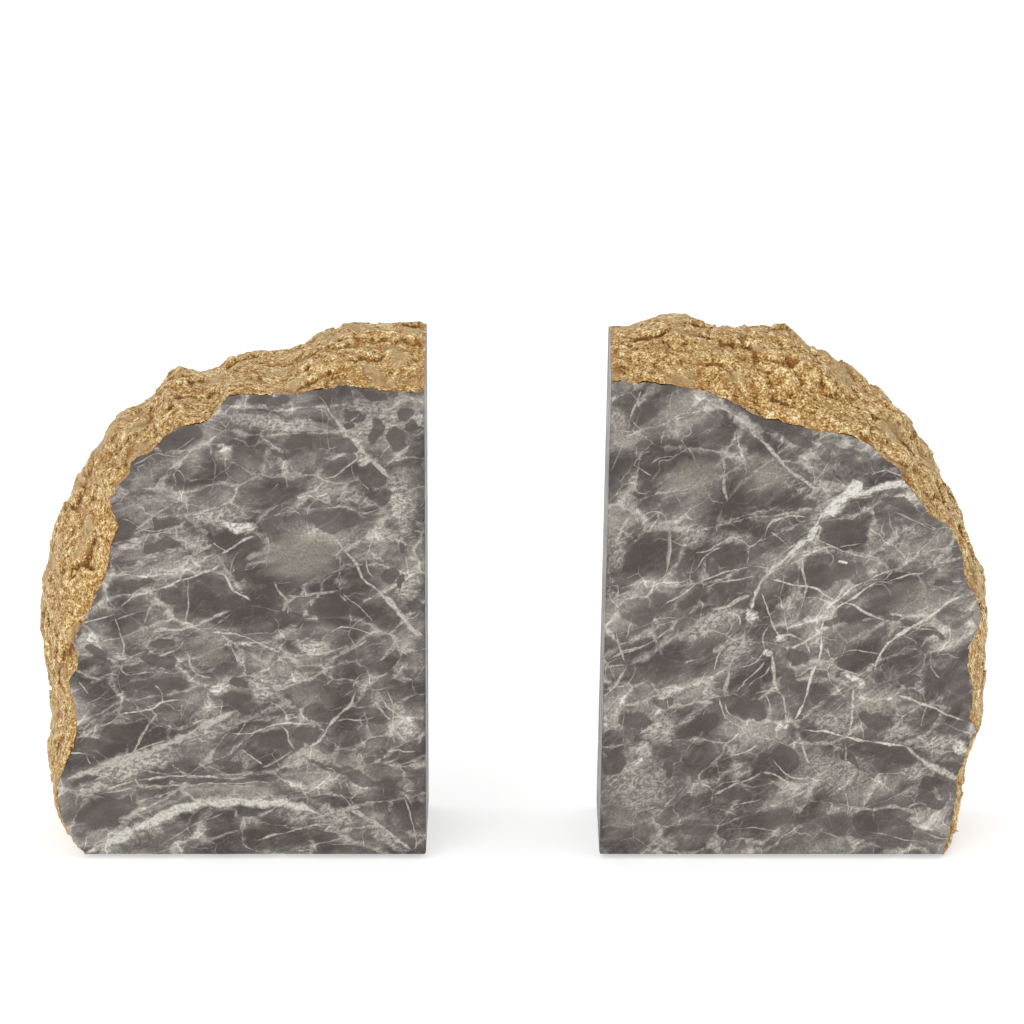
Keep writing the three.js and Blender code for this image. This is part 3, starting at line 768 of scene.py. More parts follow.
# %% The right stone's pattern
RIGHT_VEINS = [
    (0.36, 0.64, [(13.7, 161), (12, 156.5), (10.5, 152.5), (9.8, 150)]),
    (0.24, 0.52, [(10.3, 150), (13, 147.5), (16, 145)]),
    (0.50, 0.55, [(25, 161), (22.8, 156.5), (23.3, 153.5), (22, 149.5), (20, 141.5)]),
    (0.26, 0.46, [(10, 151), (8.5, 145), (6, 138), (3.5, 132)]),
    (0.95, 0.68, [(27, 162.5), (32, 159.3), (36, 156.7), (41, 154), (46, 151), (50, 148), (52.5, 144.5),
                  (56, 140.8), (60.5, 136), (64.5, 132.3), (69, 129), (76, 125)]),
    (1.6, 0.50, [(36, 157.5), (45, 152.5), (50, 149), (55.5, 141)]),
    (0.65, 0.55, [(40, 140), (41.2, 134), (41.3, 127), (42.7, 121.5)]),
    (0.24, 0.52, [(38, 139.5), (43, 137.5), (45.5, 131.5)]),
    (0.22, 0.56, [(44.5, 138.7), (47, 137.2), (47.5, 130.3)]),
    (0.24, 0.50, [(51, 138.5), (56, 136), (61, 133.2)]),
    (0.26, 0.52, [(11, 134), (12.5, 138), (16.5, 139.7)]),
    (0.22, 0.58, [(10, 135.5), (14, 133), (17.5, 130.5)]),
    (0.26, 0.52, [(16.5, 135), (20.5, 138), (25.3, 137.8)]),
    (0.26, 0.52, [(22.8, 129.5), (25.3, 125), (27.5, 118.5)]),
    (0.32, 0.60, [(8, 113), (12, 116.5), (16, 118.5), (20, 118.7), (22, 116), (23, 109.5)]),
    (0.70, 0.62, [(4.5, 107), (7, 113), (10.5, 118.5)]),
    (0.22, 0.52, [(12.3, 131), (12, 127.5), (14, 125.5), (17.5, 126.7)]),
    (0.46, 0.70, [(54.3, 109), (56.5, 114.5), (60, 116.5), (64, 117.5), (70, 116.7)]),
    (0.26, 0.66, [(56.5, 112.3), (60, 109.7), (63, 107)]),
    (2.3, 0.99, [(88, 129.5), (83.5, 126.3), (80, 123.5), (77.5, 120.7), (74, 118)]),
    (1.35, 0.88, [(81, 124.5), (89, 126), (95, 128), (100, 128.7), (105, 127.5)]),
    (1.3, 0.84, [(76.5, 119), (73, 116.5), (71.5, 113), (69.5, 108.5)]),
    (0.28, 0.62, [(77.5, 130), (76.6, 127), (75.3, 123.5)]),
    (0.32, 0.62, [(89.5, 131.7), (94, 133.3), (97, 132.5), (101, 130.7)]),
    (0.26, 0.56, [(84.5, 123.6), (88, 124), (91.5, 124.7)]),
    (0.26, 0.62, [(97, 119.5), (103, 117), (108, 114.5), (114, 111.7)]),
    (0.24, 0.50, [(95.5, 122), (96.5, 116), (98.8, 109.5)]),
    (0.34, 0.62, [(5, 90), (10, 91.5), (14, 93.8), (19.5, 95.5), (22, 99), (23.3, 105), (23.5, 113)]),
    (0.60, 0.46, [(23.3, 115), (23, 106), (22.3, 99)]),
    (0.38, 0.74, [(19.5, 84.7), (24, 88.5), (28, 91.3), (33, 94.7), (38, 97), (44, 99.2), (51.5, 100)]),
    (0.28, 0.68, [(34.5, 92.5), (41, 95), (47, 96), (52.5, 97)]),
    (0.28, 0.60, [(26, 99.7), (29, 98.3), (31.5, 99), (34, 102), (37, 105), (41.5, 107)]),
    (0.36, 0.64, [(31, 104.7), (36, 105.5), (40, 108), (43, 110), (47, 109), (50, 107), (53, 109.5),
                  (55.5, 113)]),
    (0.20, 0.54, [(33, 99.5), (37.3, 96.7)]),
    (0.22, 0.52, [(27.3, 98), (29.7, 93.5)]),
    (2.1, 0.50, [(8, 65.5), (16, 69.5), (22, 74), (29, 78), (36, 82), (43, 84), (51, 85)]),
    (0.42, 0.58, [(3, 68), (8, 70.8), (14, 72.7), (20, 76), (26, 80)]),
    (0.46, 0.62, [(9.3, 67), (7, 62), (3.5, 57.5), (0.5, 55)]),
    (0.38, 0.58, [(4.7, 96), (6, 90), (5, 84), (5.6, 76), (8, 69), (9.5, 65.5)]),
    (0.46, 0.60, [(1, 64.5), (4, 66), (9, 66.3)]),
    (0.26, 0.56, [(8, 61), (8.2, 52), (8, 42), (8.7, 35.5)]),
    (0.22, 0.56, [(0, 77.3), (5, 76.7), (10, 78), (15, 80.5), (21, 82.5), (27.5, 82)]),
    (0.85, 0.86, [(50.5, 82), (51.3, 88), (53, 93), (55, 97), (58.5, 100.5), (61.5, 103), (65.5, 106.5),
                  (71, 111)]),
    (0.50, 0.72, [(61.5, 100.5), (65.5, 104.5), (70.5, 106)]),
    (0.42, 0.76, [(53.5, 98.3), (57, 96.3), (61, 95), (68, 93.3), (72, 92.3), (76, 90), (80, 88.3),
                  (84, 87.6), (90, 84), (98, 81)]),
    (0.75, 0.64, [(51.5, 90.8), (46, 88.7), (42, 86.5), (36, 85.5)]),
    (0.40, 0.72, [(43.5, 84), (46.3, 82.5), (46.5, 79.5)]),
    (0.28, 0.68, [(45, 78.2), (41.5, 73), (39, 68), (38.2, 64)]),
    (0.38, 0.76, [(53.7, 91.7), (56, 86), (58, 80.5), (60.3, 75)]),
    (0.26, 0.62, [(56.7, 80), (54.5, 76.5), (55.3, 72), (56.7, 69)]),
    (0.85, 0.60, [(49, 80), (47, 72.5), (44.3, 67), (43, 61.5), (40.3, 54)]),
    (0.30, 0.68, [(55.3, 71.3), (52.5, 67.5), (50, 66), (45.5, 65), (43.7, 62)]),
    (0.26, 0.68, [(56, 68.3), (53, 64.5), (48.5, 60.5), (45.3, 55.5)]),
    (0.26, 0.62, [(57.2, 66.5), (55.5, 63.3), (51, 60.5), (47.7, 56.5)]),
    (0.55, 0.72, [(57.8, 72), (58.3, 64), (59, 59.5), (61.5, 56)]),
    (0.40, 0.72, [(58.5, 75.5), (62, 76.3), (66, 76), (69, 74), (71, 69.5)]),
    (0.22, 0.62, [(60, 90.5), (61.5, 86), (64.5, 83), (69, 80.5), (71.5, 77.5)]),
    (0.22, 0.62, [(63, 94.5), (65, 89.5), (69.3, 87.8)]),
    (0.34, 0.68, [(61.5, 103), (66, 105), (70, 105.6), (75, 106.5), (78, 107.2), (82, 105.5), (87, 103.7),
                  (94, 101.7)]),
    (0.26, 0.62, [(70.3, 111), (74, 109), (79, 106.7)]),
    (0.22, 0.56, [(78.5, 107.2), (86, 108), (93, 108.5), (100.5, 109)]),
    (0.36, 0.68, [(67, 105), (68, 99.5), (69, 93), (68.3, 89), (67.2, 84.5)]),
    (0.56, 0.88, [(92, 97.3), (87.5, 95), (84, 93), (81, 90), (78.3, 88), (76, 85.5), (75, 82), (74.4, 76),
                  (73.7, 70), (71.8, 65), (70.2, 60), (69, 55), (67, 50.5), (64.5, 45)]),
    (0.55, 0.82, [(93.5, 95.7), (88.5, 92.5), (84.5, 89.7), (80.5, 87), (77.5, 84), (75.3, 80)]),
    (0.28, 0.72, [(90, 96.2), (94, 98), (98.5, 99.8)]),
    (0.24, 0.72, [(93.3, 94.7), (96, 97), (98.3, 99.7)]),
    (0.32, 0.68, [(91, 95), (97, 95.7), (103, 97.3), (109, 98)]),
    (0.45, 0.99, [(79.3, 102.3), (83, 101.3)]),
    (0.62, 0.82, [(125, 91), (118, 88.5), (113, 85), (109.5, 82.7), (105, 80), (99.7, 76), (95, 72),
                  (93, 68.5), (92.2, 65), (91.5, 60.5)]),
    (0.28, 0.64, [(97.5, 80), (102, 82.7), (107, 85), (112.5, 86.9)]),
    (0.24, 0.62, [(97.5, 79.8), (105, 79.3), (112, 78), (119, 76.8), (126, 77.4)]),
    (0.32, 0.68, [(76.2, 74), (77.5, 68), (80, 65.5), (84, 64), (88.5, 63)]),
    (0.30, 0.62, [(78.5, 69.5), (84, 71.5), (90, 70.8), (94, 69.8)]),
    (0.65, 0.56, [(111.3, 72.5), (111.2, 67.5), (111.8, 64.5), (114.5, 61.5)]),
    (0.24, 0.64, [(99, 102), (105, 105), (111, 106), (121, 107.9)]),
    (0.22, 0.62, [(108.5, 95.2), (114, 92.5), (119, 91), (125, 90.3)]),
    (0.50, 0.74, [(85.3, 59), (84.7, 50), (84.3, 41.5)]),
    (0.46, 0.84, [(67, 43.6), (72, 43), (76, 43.2), (81, 42), (86.5, 40.2), (91, 39.8), (96, 39.2),
                  (101, 38.3), (106, 36.3)]),
    (1.35, 0.76, [(102, 38.7), (107.5, 34), (112, 31), (117, 28.3), (123, 26)]),
    (0.60, 0.74, [(98, 56.3), (105, 54), (110, 52.2), (116.5, 49.3), (123.5, 46.6)]),
    (0.32, 0.64, [(110, 52.5), (108.5, 48), (108.2, 44)]),
    (0.55, 0.64, [(67.2, 42), (69, 36), (71.5, 31), (75.5, 26)]),
    (0.26, 0.54, [(75.2, 37), (74.3, 32), (74.3, 27)]),
    (0.30, 0.54, [(82.6, 41), (83, 33), (84.5, 27), (87.3, 18)]),
    (0.75, 0.56, [(77, 19.5), (84, 17), (92, 16.3), (99, 17), (108, 14.5), (121, 11.7)]),
    (0.32, 0.62, [(103.5, 13), (109, 9), (113, 6.7), (119.5, 5.5)]),
    (0.26, 0.76, [(104, 16.5), (107, 17.8), (111.5, 17.3)]),
    (0.60, 0.60, [(0.5, 46.5), (5.5, 51.5), (10, 52.5), (14.5, 53.5), (20, 56.3), (29, 59)]),
    (0.32, 0.68, [(21, 57.5), (23, 52.5), (21, 48.5), (17.5, 45), (11.5, 41.7)]),
    (0.42, 0.62, [(26.5, 51.5), (21, 46), (15.5, 41)]),
    (0.40, 0.74, [(40, 55.5), (41.5, 50), (44, 46.7), (47.5, 44.5), (50.5, 40)]),
    (0.30, 0.68, [(41.7, 55), (43.7, 49.5), (48, 47), (54, 46), (59, 43.5)]),
    (0.32, 0.70, [(43, 34.2), (48.5, 36), (53.3, 38.7)]),
    (0.42, 0.62, [(38, 20.3), (44.5, 24.5), (50, 26.5), (55.5, 29.3)]),
    (0.60, 0.62, [(54.5, 29.3), (60, 27.5), (66, 24), (71, 21.5)]),
    (0.40, 0.70, [(57.5, 34), (62, 29.5), (67, 27), (71.5, 27.3)]),
    (0.26, 0.64, [(44, 17.3), (49, 18), (55.5, 20.2)]),
    (0.30, 0.62, [(60.3, 44.5), (58.5, 40), (55.7, 36.7)]),
    (0.50, 0.68, [(51, 56.3), (57, 57.7), (61, 56), (62.3, 51), (62.5, 46)]),
    (0.28, 0.64, [(55, 57), (57, 53), (57.5, 49.5)]),
    (0.28, 0.62, [(13.3, 25.7), (16, 30.5), (17.7, 34.5)]),
    (0.38, 0.56, [(2.5, 23.5), (7, 28.5), (10.5, 34)]),
    (0.36, 0.60, [(20.5, 15.5), (25, 20.5), (29.5, 25)]),
    (0.30, 0.52, [(9, 20), (13, 25), (20, 31)]),
    (0.22, 0.54, [(90, 8.5), (100, 6.5), (119, 2.5)]),
    (0.22, 0.50, [(70, 9), (80, 6.5), (97, 2.5)]),
    (0.24, 0.50, [(40, 8.7), (50, 9.7), (64, 7.5)]),
]
RIGHT_PALE = [
    (0.50, 48, 150.5, 9, 3.6, -38), (0.46, 44, 109, 9, 4, 0), (0.56, 36, 80.5, 14, 5.6, 26),
    (0.52, 46, 72, 8, 6.5, 50), (0.58, 36, 54.7, 8, 3.6, 22), (0.62, 20, 43.5, 8.5, 6, 38),
    (0.46, 14, 25, 17, 15, 0), (0.50, 78, 47, 11, 6, 0), (0.46, 80, 29, 19, 8.5, -10),
    (0.66, 114, 40, 11, 4, 0), (0.98, 121, 38, 4.2, 2.6, 0), (0.98, 51, 83, 3, 3.6, 0),
    (0.90, 60.4, 74.6, 3.4, 1.9, 15), (0.92, 56.8, 71, 2, 1.5, 0), (1.0, 85.6, 61.9, 6.2, 2, -22),
    (0.98, 80, 123, 6, 3.8, 42), (0.66, 64, 23.5, 6, 4, 0), (0.84, 62, 44.6, 3.2, 2.1, 0),
    (0.46, 104, 113, 11, 3, -10), (0.42, 110, 104, 12, 8, 0), (0.56, 99, 44.5, 12, 3.6, -18),
    (0.46, 5, 106, 5, 9, 0), (0.44, 24, 148, 6, 3.5, 0), (0.50, 48, 30, 5, 3, 0),
    (0.44, 55, 42, 10, 3.4, 20), (0.52, 107, 29, 8, 4, 0), (0.46, 31, 111, 8, 6, 0),
    (0.60, 14, 36.5, 5.5, 3, 0), (0.48, 5, 150, 5, 5, 0), (0.62, 117, 29, 7, 2, -28),
]
RIGHT_TAN = [
    (0.85, 33, 132, 9, 8, 0), (0.60, 53, 132, 11, 8, 0), (0.80, 6, 11.5, 6.5, 6, 0),
    (0.65, 101, 90, 13, 5.6, 15), (0.60, 85, 77.5, 9.5, 4.5, 10), (0.50, 100, 73, 6, 4, 0),
    (0.45, 113, 46, 5, 3, 0), (0.40, 92, 52, 7, 5, 0), (0.45, 12, 9, 9, 4, 30),
]
RIGHT_DARK = [
    (0.85, 15.5, 152.5, 3.8, 4.4, 0), (0.9, 60, 146.8, 13, 3, -27), (0.65, 81, 137.5, 11, 4, -15),
    (0.85, 66, 122.7, 7, 2.3, 0), (0.85, 81, 113, 9, 4, 0), (0.75, 100, 121.5, 6.5, 2.2, -15),
    (0.9, 43, 92.9, 6.5, 2.4, 12), (0.95, 43.5, 103.7, 7, 2.9, 0), (0.75, 14, 105, 6.5, 4.2, 0),
    (0.8, 15, 86, 10, 5, 15), (0.85, 22, 65.5, 8, 4, 25), (1.0, 33, 44.7, 8, 4.2, 25),
    (1.0, 50, 50.8, 7, 4.2, 0), (1.0, 23.3, 30, 1.4, 2.8, 0), (0.9, 5, 32, 4.6, 3.4, 30),
    (0.9, 22.5, 36.5, 2, 3, 0), (1.0, 62.5, 34, 6.5, 4.2, 0), (1.0, 54.6, 33, 2.4, 2.4, 0),
    (0.9, 46, 20.8, 5.5, 2.6, 10), (0.85, 73, 97, 5.2, 5, 0), (0.75, 83, 98.5, 7, 4, 0),
    (0.95, 84, 84, 6.5, 2.8, 15), (0.95, 85.5, 68, 6.8, 2.8, 0), (0.9, 101, 68, 5.4, 2.4, 0),
    (0.95, 111, 76.5, 6, 1.8, -14), (0.95, 66, 69, 4.6, 4, 0), (0.85, 116, 61.5, 9.5, 5, 0),
    (0.8, 120, 55, 6, 5, 0), (0.95, 92.5, 46.8, 6.4, 3.4, -15), (0.95, 98, 34.6, 9.5, 3.3, -24),
    (0.9, 84.7, 33, 5, 1.2, -36), (1.0, 110.5, 24.8, 3.4, 3.4, 0), (0.9, 113, 18.8, 6, 2.7, -15),
    (0.75, 92, 9.5, 27, 5, -8), (0.7, 118, 83, 7, 3, 0), (0.9, 115, 94, 4, 1.7, 0),
    (0.95, 12, 47.3, 5.5, 3.6, 0), (0.9, 51.5, 60.5, 4, 2.6, 40), (0.9, 63, 62, 3, 3.6, 0),
    (0.8, 30, 88.5, 6, 2.2, 30), (0.8, 100, 82.2, 7, 1.2, -14), (0.9, 66.5, 48.3, 1.6, 1.6, 0),
    (0.85, 22, 53.5, 3, 2.4, 0), (0.8, 74, 56, 4, 3, 0), (0.75, 34, 10, 6, 3, 0),
    (0.85, 66, 58.5, 3, 3, 0), (0.7, 60, 13, 14, 3, -5), (0.8, 118, 31.7, 6, 1.2, -14),
    (0.85, 78, 80.5, 3.5, 1.6, 0), (0.8, 36, 70.5, 3, 2.5, 40), (0.9, 104, 60, 4, 2, 0),
]
print("Hand-drawn veins:", len(LEFT_VEINS), "left,", len(RIGHT_VEINS), "right")

# %% [markdown]
# The pattern sits on the front face as drawn. Deeper in, it slides towards the book face and a little
# down, and it folds back at the rim, so the side and the back show the same stone cut elsewhere. A
# Mapping node gives the point in the slab's own millimetres; a few sums do the sliding and folding.

# %% Where a point lies in the pattern
SLIDE_PER_DEPTH = (0.55, 0.0, 0.12)
FOLD_AT = 132.0


def slab_point(tree, slab):
    """The shading point in the slab's own millimetres: (along, depth, up)."""
    mapping = tree.nodes.new("ShaderNodeMapping")
    set_inputs(tree, mapping, {
        "Vector": tree.nodes.new("ShaderNodeTexCoord").outputs["Object"],
        "Scale": (slab.side / MM, 1 / MM, 1 / MM),
        "Location": (-slab.side * slab.face / MM, -slab.front / MM, -slab.base / MM)})
    return mapping.outputs[0]


def pattern_point(tree, point):
    parts = tree.nodes.new("ShaderNodeSeparateXYZ")
    plug(tree, parts.inputs[0], point)
    slid = vector_calc(tree, "ADD", point, scaled(tree, SLIDE_PER_DEPTH, parts.outputs["Y"]))
    slid_parts = tree.nodes.new("ShaderNodeSeparateXYZ")
    plug(tree, slid_parts.inputs[0], slid)
    joined = tree.nodes.new("ShaderNodeCombineXYZ")
    set_inputs(tree, joined, {"X": calc(tree, "PINGPONG", slid_parts.outputs["X"], FOLD_AT),
                              "Y": slid_parts.outputs["Y"], "Z": slid_parts.outputs["Z"]})
    return joined.outputs[0]


print("The pattern slides by", SLIDE_PER_DEPTH, "per millimetre of depth")

# %% [markdown]
# A vein is drawn as a curve over its chord, the straight line between its ends: one dot product says how
# far along the chord a point lies, another how far beside it, and a curve node holds the bend. That
# takes a handful of nodes for a vein of any length. A stone's veins go into a chain of small groups, in
# which each vein brightens what the ones before it left. The patches are gathered in the same way, but
# each kind has just one group.

# %% Groups for drawn veins and patches
BEND_REACH = 40.0
VEINS_PER_GROUP = 18
VEIN_GAIN = 1.08
VEIN_MARGIN = 0.06
EDGE_SHARE = 0.6
END_TAPER = 9.0
PALE_EDGE = 1.15
TAN_EDGE = 1.6
DARK_EDGE = 3.2
Pattern = namedtuple("Pattern", "vein_groups pale tan dark")


def chord_frame(route):
    """A route's start, its chord, and the direction beside the chord, in the (along, up) plane."""
    start, end = Vector(route[0]), Vector(route[-1])
    chord = end - start
    return start, chord, Vector((-chord.y, chord.x)).normalized()


def vein_bend(tree, share, route):
    """A curve node that gives, for each share of the chord, how far the vein lies beside it."""
    start, chord, beside = chord_frame(route)
    offsets = [Vector(stop) - start for stop in route]
    places = [(offset.dot(chord) / chord.length_squared, 0.5 + offset.dot(beside) / (2 * BEND_REACH))
              for offset in offsets]
    if places != sorted(places):
        raise ValueError(f"this vein doubles back along its chord: {route}")
    node = tree.nodes.new("ShaderNodeFloatCurve")
    points = node.mapping.curves[0].points
    points[0].location = places[0]
    points[1].location = places[-1]
    for place_on_curve in places[1:-1]:
        points.new(*place_on_curve)
    node.mapping.update()
    plug(tree, node.inputs["Value"], share)
    return node.outputs[0]


def brighter_with_vein(tree, tone, point, swell, half_width, strength, route):
    """The tone so far, or the vein's own where that is brighter. The vein is full within its width, soft
    at its edge, and tapers to nothing at its ends."""
    start, chord, beside = chord_frame(route)
    corner = start - beside * BEND_REACH
    unit = chord / chord.length_squared
    side = beside / (2 * BEND_REACH)
    half_width = half_width * VEIN_GAIN + VEIN_MARGIN
    steepness = strength / (half_width * EDGE_SHARE + VEIN_MARGIN)
    offset = vector_calc(tree, "SUBTRACT", point, (corner.x, 0, corner.y))
    share = vector_calc(tree, "DOT_PRODUCT", offset, (unit.x, 0, unit.y), "Value")
    bend = vein_bend(tree, share, route)
    height = vector_calc(tree, "DOT_PRODUCT", offset, (side.x, 0, side.y), "Value")
    apart = calc(tree, "ABSOLUTE", calc(tree, "SUBTRACT", height, bend))
    lost = times(tree, apart, -2 * BEND_REACH * steepness)
    ends = times(tree, share, calc(tree, "MULTIPLY_ADD", share, -END_TAPER, END_TAPER))
    reach = times(tree, calc(tree, "MINIMUM", ends, 1.0), swell)
    line = calc(tree, "MULTIPLY_ADD", reach, half_width * steepness, lost)
    return brighter(tree, tone, calc(tree, "MINIMUM", line, strength))


def make_vein_groups(name, veins):
    """Groups that brighten a tone with some of the veins each; small groups are quicker to build."""
    groups = []
    for first in range(0, len(veins), VEINS_PER_GROUP):
        group, given, result = new_group(f"{name}_veins_{len(groups) + 1}",
                                         {"Point": ORIGIN, "Swell": 1.0, "Tone": 0.0}, "Tone")
        tone = given["Tone"]
        for vein in veins[first:first + VEINS_PER_GROUP]:
            tone = brighter_with_vein(group, tone, given["Point"], given["Swell"], *vein)
        plug(group, result, tone)
        groups.append(group)
    return groups


def make_patches_group(name, patches, edge):
    """Gathers oval patches; edge says how steeply they fade towards their outline."""
    group, given, result = new_group(name, {"Point": ORIGIN}, "Amount")
    amount = 0.0
    for strength, along, up, half_length, half_height, turn in patches:
        angle = math.radians(turn)
        offset = vector_calc(group, "SUBTRACT", given["Point"], (along, 0, up))
        flat = (math.cos(angle) / half_length, 0, math.sin(angle) / half_length)
        tall = (-math.sin(angle) / half_height, 0, math.cos(angle) / half_height)
        across = vector_calc(group, "DOT_PRODUCT", offset, flat, "Value")
        over = vector_calc(group, "DOT_PRODUCT", offset, tall, "Value")
        squares = calc(group, "MULTIPLY_ADD", across, across, times(group, over, over))
        inside = calc(group, "MULTIPLY_ADD", squares, -edge * strength, edge * strength)
        amount = brighter(group, amount, calc(group, "MINIMUM", inside, strength))
    plug(group, result, amount)
    return group


def make_pattern(name, veins, pale, tan, dark):
    return Pattern(make_vein_groups(name, veins),
                   make_patches_group(f"{name}_pale_filling", pale, PALE_EDGE),
                   make_patches_group(f"{name}_tan_clouds", tan, TAN_EDGE),
                   make_patches_group(f"{name}_dark_fragments", dark, DARK_EDGE))


LEFT_PATTERN = make_pattern("left", LEFT_VEINS, LEFT_PALE, LEFT_TAN, LEFT_DARK)
RIGHT_PATTERN = make_pattern("right", RIGHT_VEINS, RIGHT_PALE, RIGHT_TAN, RIGHT_DARK)
for vein_groups, *patch_groups in (LEFT_PATTERN, RIGHT_PATTERN):
    print("Groups:", ", ".join(group.name for group in vein_groups + patch_groups))

# %% [markdown]
# The marble is built up in layers, and each layer only changes one number, the tone: first the uneven
# ground, then nets of cracks from coarse to fine, then the drawn patches, the drawn veins and the grit.
# The colour comes from the tone at the very end, because in this marble dark is purplish grey, middling
# is warm grey and light is greenish white. Most of the noise lies in beds, which are turned differently
# in the two stones. A wander takes how far things stray and over what spacing; cracks take the size of
# their cells and the width of their lines, all in millimetres.

# %% The marble
TONE_COLOURS = [
    (0.00, (0.050, 0.040, 0.037)),
    (0.25, (0.122, 0.106, 0.096)),
    (0.50, (0.255, 0.232, 0.203)),
    (0.75, (0.400, 0.380, 0.328)),
    (1.00, (0.585, 0.575, 0.520)),
]
CLOUD_TINT = (1.02, 1.0, 0.93, 1)
BED_STRETCH = (1.5, 1.25, 0.8)
FINE_NET_STRETCH = (0.85, 1, 0.85)
FINE_NET_TURN = 25
LEFT_BEDS = {"turn": 12, "start": (0, 0, 0)}
RIGHT_BEDS = {"turn": -28, "start": (431, 57, 219)}


def flattened(tree, point, turn, stretch):
    """The point turned and stretched, so that what is built on it lies in beds that long and that thick."""
    mapping = tree.nodes.new("ShaderNodeMapping")
    mapping.vector_type = "TEXTURE"
    set_inputs(tree, mapping, {"Vector": point, "Rotation": (0, math.radians(turn), 0), "Scale": stretch})
    return mapping.outputs[0]


def with_cracks(tree, tone, own, ragged, filling, crushed):
    """Adds three nets of cracks and a few threads. Small cracks and crumbs fill the crushed places."""
    spread = noise_at(tree, own, 0.11, 2.0)
    crumbs = fade(tree, filling, 0.40, 0.62)
    big = cracks(tree, ragged, 15.0, fade(tree, spread, 0.38, 0.70, 0.12, 2.6))
    middling = cracks(tree, ragged, 6.5, fade(tree, spread, 0.34, 0.62, 1.0, 0.2))
    fine = cracks(tree, flattened(tree, ragged, FINE_NET_TURN, FINE_NET_STRETCH), 2.6, 0.35)
    threads = cracks(tree, wander(tree, own, 6.0, 15.0), 13.0, 0.30)
    small = brighter(tree, times(tree, middling, 0.30), times(tree, fine, 0.15))
    tone = layered(tree, tone, times(tree, big, 0.38), fade(tree, filling, 0.30, 0.60, 0.35, 1.0))
    tone = layered(tree, tone, small, brighter(tree, crushed, times(tree, crumbs, 0.5)))
    tone = layered(tree, tone, times(tree, crumbs, crushed), 0.18)
    return layered(tree, tone, threads, fade(tree, spread, 0.42, 0.60, 0.0, 0.32))


def with_patches(tree, tone, torn, pale, mottle, filling, pattern):
    """Lays pale filling, tan clouds and dark fragments over the tone; returns the clouds as well."""
    tone = brighter(tree, tone, times(tree, pale, fade(tree, filling, 0.36, 0.62, 0.50, 1.22)))
    cloud = times(tree, use_group(tree, pattern.tan, Point=torn),
                  fade(tree, mottle, 0.32, 0.58, 0.5, 0.95))
    tone = mix(tree, cloud, tone, calc(tree, "MULTIPLY_ADD", mottle, 0.35, 0.16))
    fragment = times(tree, use_group(tree, pattern.dark, Point=torn), 0.85)
    return mix(tree, fragment, tone, calc(tree, "MULTIPLY_ADD", mottle, 0.34, -0.10)), cloud


def with_veins(tree, tone, drawn, own, filling, vein_groups):
    """Lays the drawn veins over the tone, swelling and crumbling a little along their way."""
    bent = wander(tree, drawn, 1.3, 8.0)
    swell = fade(tree, noise_at(tree, own, 0.16, 2.0), 0.3, 0.7, 0.6, 1.4)
    line = 0.0
    for group in vein_groups:
        line = use_group(tree, group, Point=bent, Swell=swell, Tone=line)
    return brighter(tree, tone, times(tree, line, fade(tree, filling, 0.32, 0.55, 0.62, 1.05)))


def with_grit(tree, tone, own):
    grain = noise_at(tree, own, 1.25, 2.0, 0.6)
    return calc(tree, "ADD", tone, times(tree, centred(tree, grain), fade(tree, tone, 0.1, 0.6, 0.15, 0.7)))


def marble(slab, pattern, turn, start):
    material, tree, shader = new_material(f"{slab.name}_marble")
    point = slab_point(tree, slab)
    drawn = pattern_point(tree, point)
    torn = wander(tree, drawn, 4.6, 8.0)
    own = vector_calc(tree, "ADD", point, start)
    swirled = wander(tree, flattened(tree, own, turn, BED_STRETCH), 8.0, 30.0)
    ragged = wander(tree, swirled, 1.1, 4.5)
    filling = noise_at(tree, ragged, 0.85, 3.0, 0.7)
    mottle = noise_at(tree, swirled, 0.06, 5.0, 0.6)
    pale = use_group(tree, pattern.pale, Point=torn)
    crushed = fade(tree, noise_at(tree, swirled, 0.026), 0.46, 0.66, 0.0, 0.6)

    tone = fade(tree, mottle, 0.34, 0.74, -0.04, 0.50)
    tone = with_cracks(tree, tone, own, ragged, filling, brighter(tree, crushed, pale))
    tone, cloud = with_patches(tree, tone, torn, pale, mottle, filling, pattern)
    tone = with_veins(tree, tone, drawn, own, filling, pattern.vein_groups)
    colour = colour_steps(tree, with_grit(tree, tone, own), TONE_COLOURS)
    warmed = mix(tree, 1.0, colour, CLOUD_TINT, "RGBA", "MULTIPLY")
    set_inputs(tree, shader, {"Base Color": mix(tree, cloud, colour, warmed, "RGBA"),
                              "Roughness": 0.42, "Specular IOR Level": 0.3})
    return material


for slab, pattern, beds in ((LEFT, LEFT_PATTERN, LEFT_BEDS), (RIGHT, RIGHT_PATTERN, RIGHT_BEDS)):
    stone = marble(slab, pattern, **beds)
    bpy.data.objects[f"{slab.name}_slab"].data.materials.append(stone)
    print(stone.name, "has", len(stone.node_tree.nodes), "nodes")

# %% [markdown]
# The gilding is gold leaf over rough stone, rubbed and varnished. Close to, it is a fine mix of bright
# grains where the leaf catches the light and brown ones where it has worn or the varnish has gathered.
# Smoother facets are an even tan, hollows are darker with old varnish and painted shade, raised tops
# are lighter with a painted highlight, and there is rust brown in patches and along the borders. Grains
# under a millimetre are too small to model, so they are a bump. Each mask is a noise or one of the
# crust's two attributes.

# %% The gilt
GILT_COLOURS = [
    (0.00, (0.14, 0.050, 0.008)),
    (0.25, (0.32, 0.158, 0.036)),
    (0.50, (0.50, 0.322, 0.112)),
    (0.75, (0.70, 0.52, 0.24)),
    (1.00, (0.96, 0.86, 0.58)),
]
TAN_FACET = (0.46, 0.325, 0.165, 1)
RUST = (0.35, 0.145, 0.025, 1)
MIDDLE_TONE = 0.49


def attribute(tree, name):
    node = tree.nodes.new("ShaderNodeAttribute")
    node.attribute_name = name
    return node.outputs["Fac"]


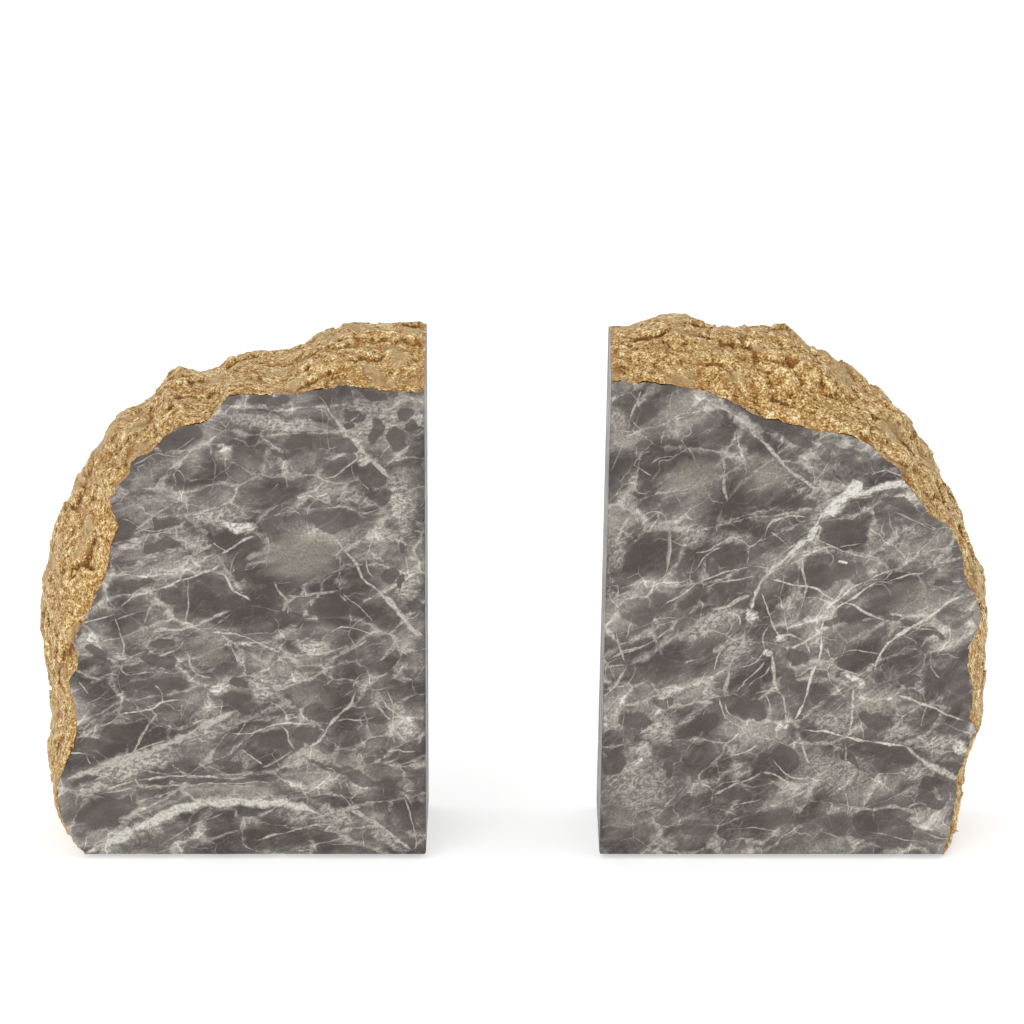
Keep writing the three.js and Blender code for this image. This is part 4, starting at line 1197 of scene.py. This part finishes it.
def gilt_tone(tree, grains, flecks):
    """From dark varnish to bright leaf: grains and flecks, with varnish and painted shade in the hollows and
    a painted highlight on the raised tops.
    """
    hollow = attribute(tree, "hollow")
    tone = layered(tree, MIDDLE_TONE, centred(tree, grains), 2.5)
    tone = layered(tree, tone, centred(tree, flecks), 1.7)
    # The raised tops get a painted highlight, and the hollows get painted shade as well as the darker old
    # varnish.
    tone = layered(tree, tone, fade(tree, hollow, 0.0, -0.6), 0.14)
    return layered(tree, tone, fade(tree, hollow, 0.0, 0.8), -0.55)


def gilt():
    material, tree, shader = new_material("gilt")
    point = scaled(tree, tree.nodes.new("ShaderNodeTexCoord").outputs["Object"], 1 / MM)
    grains = noise_at(tree, point, 1.35, 3.0, 0.65)
    flecks = noise_at(tree, point, 0.5, 3.0, 0.6)
    coarse = noise_at(tree, point, 0.22, 3.0, 0.6)
    patches = noise_at(tree, point, 0.075, 3.0)
    border = fade(tree, attribute(tree, "inward"), 0.5, 5.0, 0.75, 0.0)
    facets = times(tree, fade(tree, patches, 0.52, 0.64), 0.7)
    rust = brighter(tree, fade(tree, coarse, 0.50, 0.66),
                    times(tree, border, fade(tree, patches, 0.42, 0.54)))
    rust = times(tree, rust, fade(tree, grains, 0.40, 0.60, 0.90, 0.25))
    colour = colour_steps(tree, gilt_tone(tree, grains, flecks), GILT_COLOURS)
    colour = mix(tree, facets, colour, TAN_FACET, "RGBA")
    bump = tree.nodes.new("ShaderNodeBump")
    set_inputs(tree, bump, {"Distance": 0.0006, "Strength": 0.55,
                            "Height": noise_at(tree, point, 1.2, 3.0, 0.65)})
    set_inputs(tree, shader, {
        "Base Color": mix(tree, rust, colour, RUST, "RGBA"), "Metallic": 0.62,
        "Roughness": fade(tree, grains, 0.3, 0.7, 0.62, 0.40), "Normal": bump.outputs[0]})
    return material


GILT = gilt()
for slab in (LEFT, RIGHT):
    bpy.data.objects[f"{slab.name}_crust"].data.materials.append(GILT)
print("Gilt is on both crusts")

# %% [markdown]
# The pads are small discs of black rubber. Their CAD shape is all they need, so they only get a
# material: dull black, with a little dust that makes it greyer and duller in spots.

# %% The rubber
RUBBER_COLOURS = [(0.3, (0.018, 0.018, 0.018)), (0.7, (0.045, 0.043, 0.04))]
DUST_SCALE = 900.0


def rubber():
    material, tree, shader = new_material("rubber")
    where = tree.nodes.new("ShaderNodeTexCoord").outputs["Object"]
    dust = noise_at(tree, where, DUST_SCALE, 3.0)
    set_inputs(tree, shader, {"Base Color": colour_steps(tree, dust, RUBBER_COLOURS),
                              "Roughness": fade(tree, dust, 0.3, 0.7, 0.7, 0.9)})
    return material


RUBBER = rubber()
pads = [node for name, node in frame["nodes"].items() if "_pad_" in name]
for pad in pads:
    pad.data.materials.clear()
    pad.data.materials.append(RUBBER)
print("Rubber is on", len(pads), "pads")
